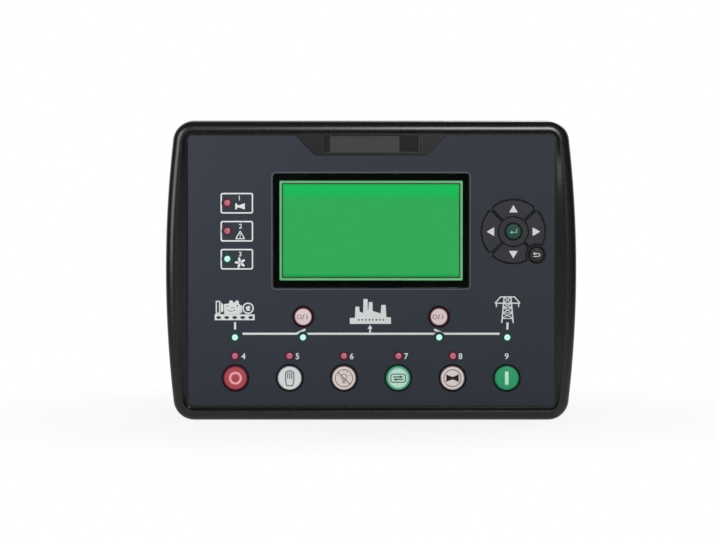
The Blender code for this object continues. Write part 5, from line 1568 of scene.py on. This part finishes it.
def placed_copies(name, master, places):
    """The master's mesh at each matrix, as one object."""
    parts = []
    for place in places:
        mesh = master.data.copy()
        mesh.transform(place)
        parts.append(show("copy", mesh))
    bpy.data.objects.remove(master, do_unlink=True)
    return merged(name, parts)


for name, (ways, pitch) in PITCH.items():
    low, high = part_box(name + "_plug")
    mid = (low + high) / 2.0
    up = 1.0 if mid.z > 0.0 else -1.0
    face_z = high.z if up > 0.0 else low.z
    xs = [mid.x + (i - (ways - 1) / 2.0) * pitch * MM for i in range(ways)]
    turn = Matrix.Rotation(radians(-90.0 * up), 4, "X")
    screw_y = high.y - SCREW_DEPTH
    radius = 1.35 * MM if pitch < 6.0 else 1.7 * MM
    tilt = [Matrix.Rotation(radians(17.0 + 41.0 * i), 4, "Y") for i in range(ways)]
    screws = placed_copies(name + "_screws", slotted_head(radius, 0.35 * MM, 0.45 * MM),
                           [Matrix.Translation((x, screw_y, face_z)) @ turn @ tilt[i]
                            for i, x in enumerate(xs)])
    finished(screws, nickel_plated_steel, "controller", slot="zinc_plated_steel")
    # A dark ring round each screw head is painted shade of the well it sits in.
    well_shade_rings = [plate("well", [circle(x, 0.0, radius + 0.35 * MM, 28), circle(x, 0.0, radius, 28)],
                   -0.06 * MM, 0.0) for x in xs]
    well_shade_rings = merged(name + "_wells", well_shade_rings)
    well_shade_rings.data.transform(Matrix.Translation((0.0, screw_y, face_z)) @ turn)
    finished(well_shade_rings, socket_floor_abs, "controller", slot="plug_plastic")
    clamps = [plate("clamp", [rectangle(x, mid.z, CLAMP_SIZE, CLAMP_SIZE),
                              rectangle(x, mid.z, CLAMP_WIDE, CLAMP_HIGH)],
                    high.y - WIRE_DEPTH + 0.05 * MM, high.y - 2.2 * MM) for x in xs]
    finished(merged(name + "_clamps", clamps), tinned_copper, "controller",
             slot="zinc_plated_steel")
    print(name, ways, "ways, screws at y", round(screw_y / MM, 1))

# %% [markdown]
# Sharp edges give a moulded part away as a drawing. A bevel of about a fifth of a
# millimetre on the plugs, headers and fixing clips catches the light as a mould's edge does.

# %% Eased edges
EASED = {"_plug": 0.25, "_header": 0.15, "fixing_clip": 0.25}
for name, node in nodes.items():
    for part, width in EASED.items():
        if part in name and not node.hide_render:
            edge = node.modifiers.new("eased", "BEVEL")
            edge.width = width * MM
            edge.segments = 2
            edge.limit_method = "ANGLE"
            edge.angle_limit = radians(40.0)
            edge.harden_normals = True
print("edges eased")

# %% [markdown]
# ## Studio
#
# The photograph shows the front almost straight on, from about three degrees above,
# on plain white. The sweep below and behind is white. The floor keeps the shadow and
# fades into the white further out. In mirrored rays it is only 0.3 as bright, so that
# the bottom rim stays as dark as in the photograph.

# %% White background that keeps the shadow
def background_rays(tree):
    """Two values: 1 for rays from the camera, and 1 for mirrored or refracted rays."""
    path = add(tree, "LightPath")
    mirror = calculate(tree, "MAXIMUM", path.outputs["Is Glossy Ray"],
                       path.outputs["Is Transmission Ray"])
    return path.outputs["Is Camera Ray"], mirror


WHITE = (1.0, 1.0, 1.0, 1.0)
FLOOR_RADIUS = 0.6              # m
FADE = (0.10, 0.30)             # m from the middle, where the floor turns to plain white
MIRRORED_FLOOR = 0.3            # share of its brightness in mirrored rays
world = bpy.data.worlds.new("studio")
bpy.context.scene.world = world
world.use_nodes = True
sky = world.node_tree
sky.nodes.clear()
from_camera, mirror = background_rays(sky)
compass = add(sky, "SeparateXYZ", {"Vector": add(sky, "TexCoord").outputs["Generated"]})
depth = compass.outputs["Y"]
behind = remap(sky, depth, (0.35, 0.8))
seen = calculate(sky, "MAXIMUM", from_camera, calculate(sky, "MULTIPLY", mirror, behind))
squared = calculate(sky, "MULTIPLY", depth, depth)
oblique = calculate(sky, "MULTIPLY", squared, calculate(sky, "SUBTRACT", 1.0, squared))
# Darkest straight ahead, where the window looks, and brightest at 45 degrees, where the
# slopes of the rim look.
glimmer = remap(sky, oblique, (0.0, 0.25), (0.08, 0.23))
room = add(sky, "Background", {"Color": linear("#c9ccd2"), "Strength": glimmer})
white = add(sky, "Background", {"Color": WHITE, "Strength": 1.0})
both = add(sky, "MixShader", {"Fac": seen, 1: room.outputs["Background"],
                              2: white.outputs["Background"]})
add(sky, "OutputWorld", {"Surface": both.outputs["Shader"]})

floor_mesh = bpy.data.meshes.new("floor")
disc = bmesh.new()
bmesh.ops.create_circle(disc, cap_ends=True, segments=96, radius=FLOOR_RADIUS)
disc.to_mesh(floor_mesh)
disc.free()
floor = show("floor", floor_mesh)
floor.location = (0.0, 0.0, cad_box[0].z - 0.05 * MM)
paper, tree, shader = new_finish("white_paper", Roughness=0.9, Specular_IOR_Level=0.1)
feed(tree, shader, {"Base Color": blend(tree, linear("#ececec"), linear("#f4f4f4"),
                                        noise(tree, 3.0))})
from_camera, mirror = background_rays(tree)
away = add(tree, "VectorMath", {0: add(tree, "NewGeometry").outputs["Position"]},
           operation="LENGTH")
far = remap(tree, away.outputs["Value"], FADE, (0.85, 1.0))
reflected = calculate(tree, "MULTIPLY", mirror, MIRRORED_FLOOR)
rays = calculate(tree, "MAXIMUM", from_camera, reflected)
plain = add(tree, "Emission", {"Color": WHITE, "Strength": 1.0})
mixed = add(tree, "MixShader", {"Fac": calculate(tree, "MULTIPLY", rays, far),
                                1: shader.outputs["BSDF"], 2: plain.outputs["Emission"]})
feed(tree, tree.nodes["Material Output"], {"Surface": mixed.outputs["Shader"]})
floor_mesh.materials.append(paper)
floor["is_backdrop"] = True
print("floor at z", round(floor.location.z / MM, 1), "mm")

# %% [markdown]
# The key lamp stands above and to the right. The quarter-round of the top rim mirrors
# it as a band of light, brighter on the right. The side lamp is close to the left rim
# and has a narrow beam, so the left rim gets a band and the right one stays dark. The
# rear lamp serves the views from behind. Places and sizes are in metres.

# %% Lamps
def soft_lamp(name, place, size, power, aim=(0.0, 0.0, 0.0), spread=180.0):
    light = bpy.data.lights.new(name, "AREA")
    light.shape = "RECTANGLE"
    light.size, light.size_y = size
    light.energy = power
    light.spread = radians(spread)
    made = show(name, light)
    made.location = place
    made.rotation_euler = (Vector(aim) - Vector(place)).to_track_quat("-Z", "Y").to_euler()
    return made


soft_lamp("key_lamp", (0.15, -0.78, 0.35), (0.28, 0.30), 4.1)
soft_lamp("side_lamp", (-0.25, -0.17, 0.10), (0.14, 0.22), 0.085, (-0.10, 0.0, 0.05), 80.0)
soft_lamp("rear_lamp", (0.5, 1.2, 0.9), (0.9, 0.6), 9.0)
print("three lamps")

# %% [markdown]
# The camera stands 3 m away and 3 degrees above the middle of the front. The scale of
# the photograph and its width in pixels give the focal length.

# %% Camera
MM_PER_PX = 0.5745              # scale of the photograph at the film
IMAGE_WIDTH = 716
OBJECT_RIGHT = 13.1             # px that the object's middle lies right of the image's
CAMERA_FAR = 3.0
CAMERA_ABOVE = 3.0

lens = bpy.data.cameras.new("camera")
lens.sensor_width = 36.0
lens.lens = 36.0 * (CAMERA_FAR / MM) / (MM_PER_PX * IMAGE_WIDTH)
camera = show("camera", lens)
tilt = radians(CAMERA_ABOVE)
aim = Vector((-OBJECT_RIGHT * MM_PER_PX * MM, FILM_FACE, 0.4 * MM))
camera.location = aim + Vector((0.0, -cos(tilt), sin(tilt))) * CAMERA_FAR
camera.rotation_euler = (aim - camera.location).to_track_quat("-Z", "Y").to_euler()
bpy.context.scene.camera = camera
bpy.context.scene.view_settings.view_transform = "Standard"
print("lens", round(lens.lens, 1), "mm")

# %% [markdown]
# The last step prints the two boxes.

# %% Boxes
for name, low_high in (("cad", cad_box), ("visual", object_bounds())):
    print(name, [[round(v / MM, 2) for v in corner] for corner in low_high])
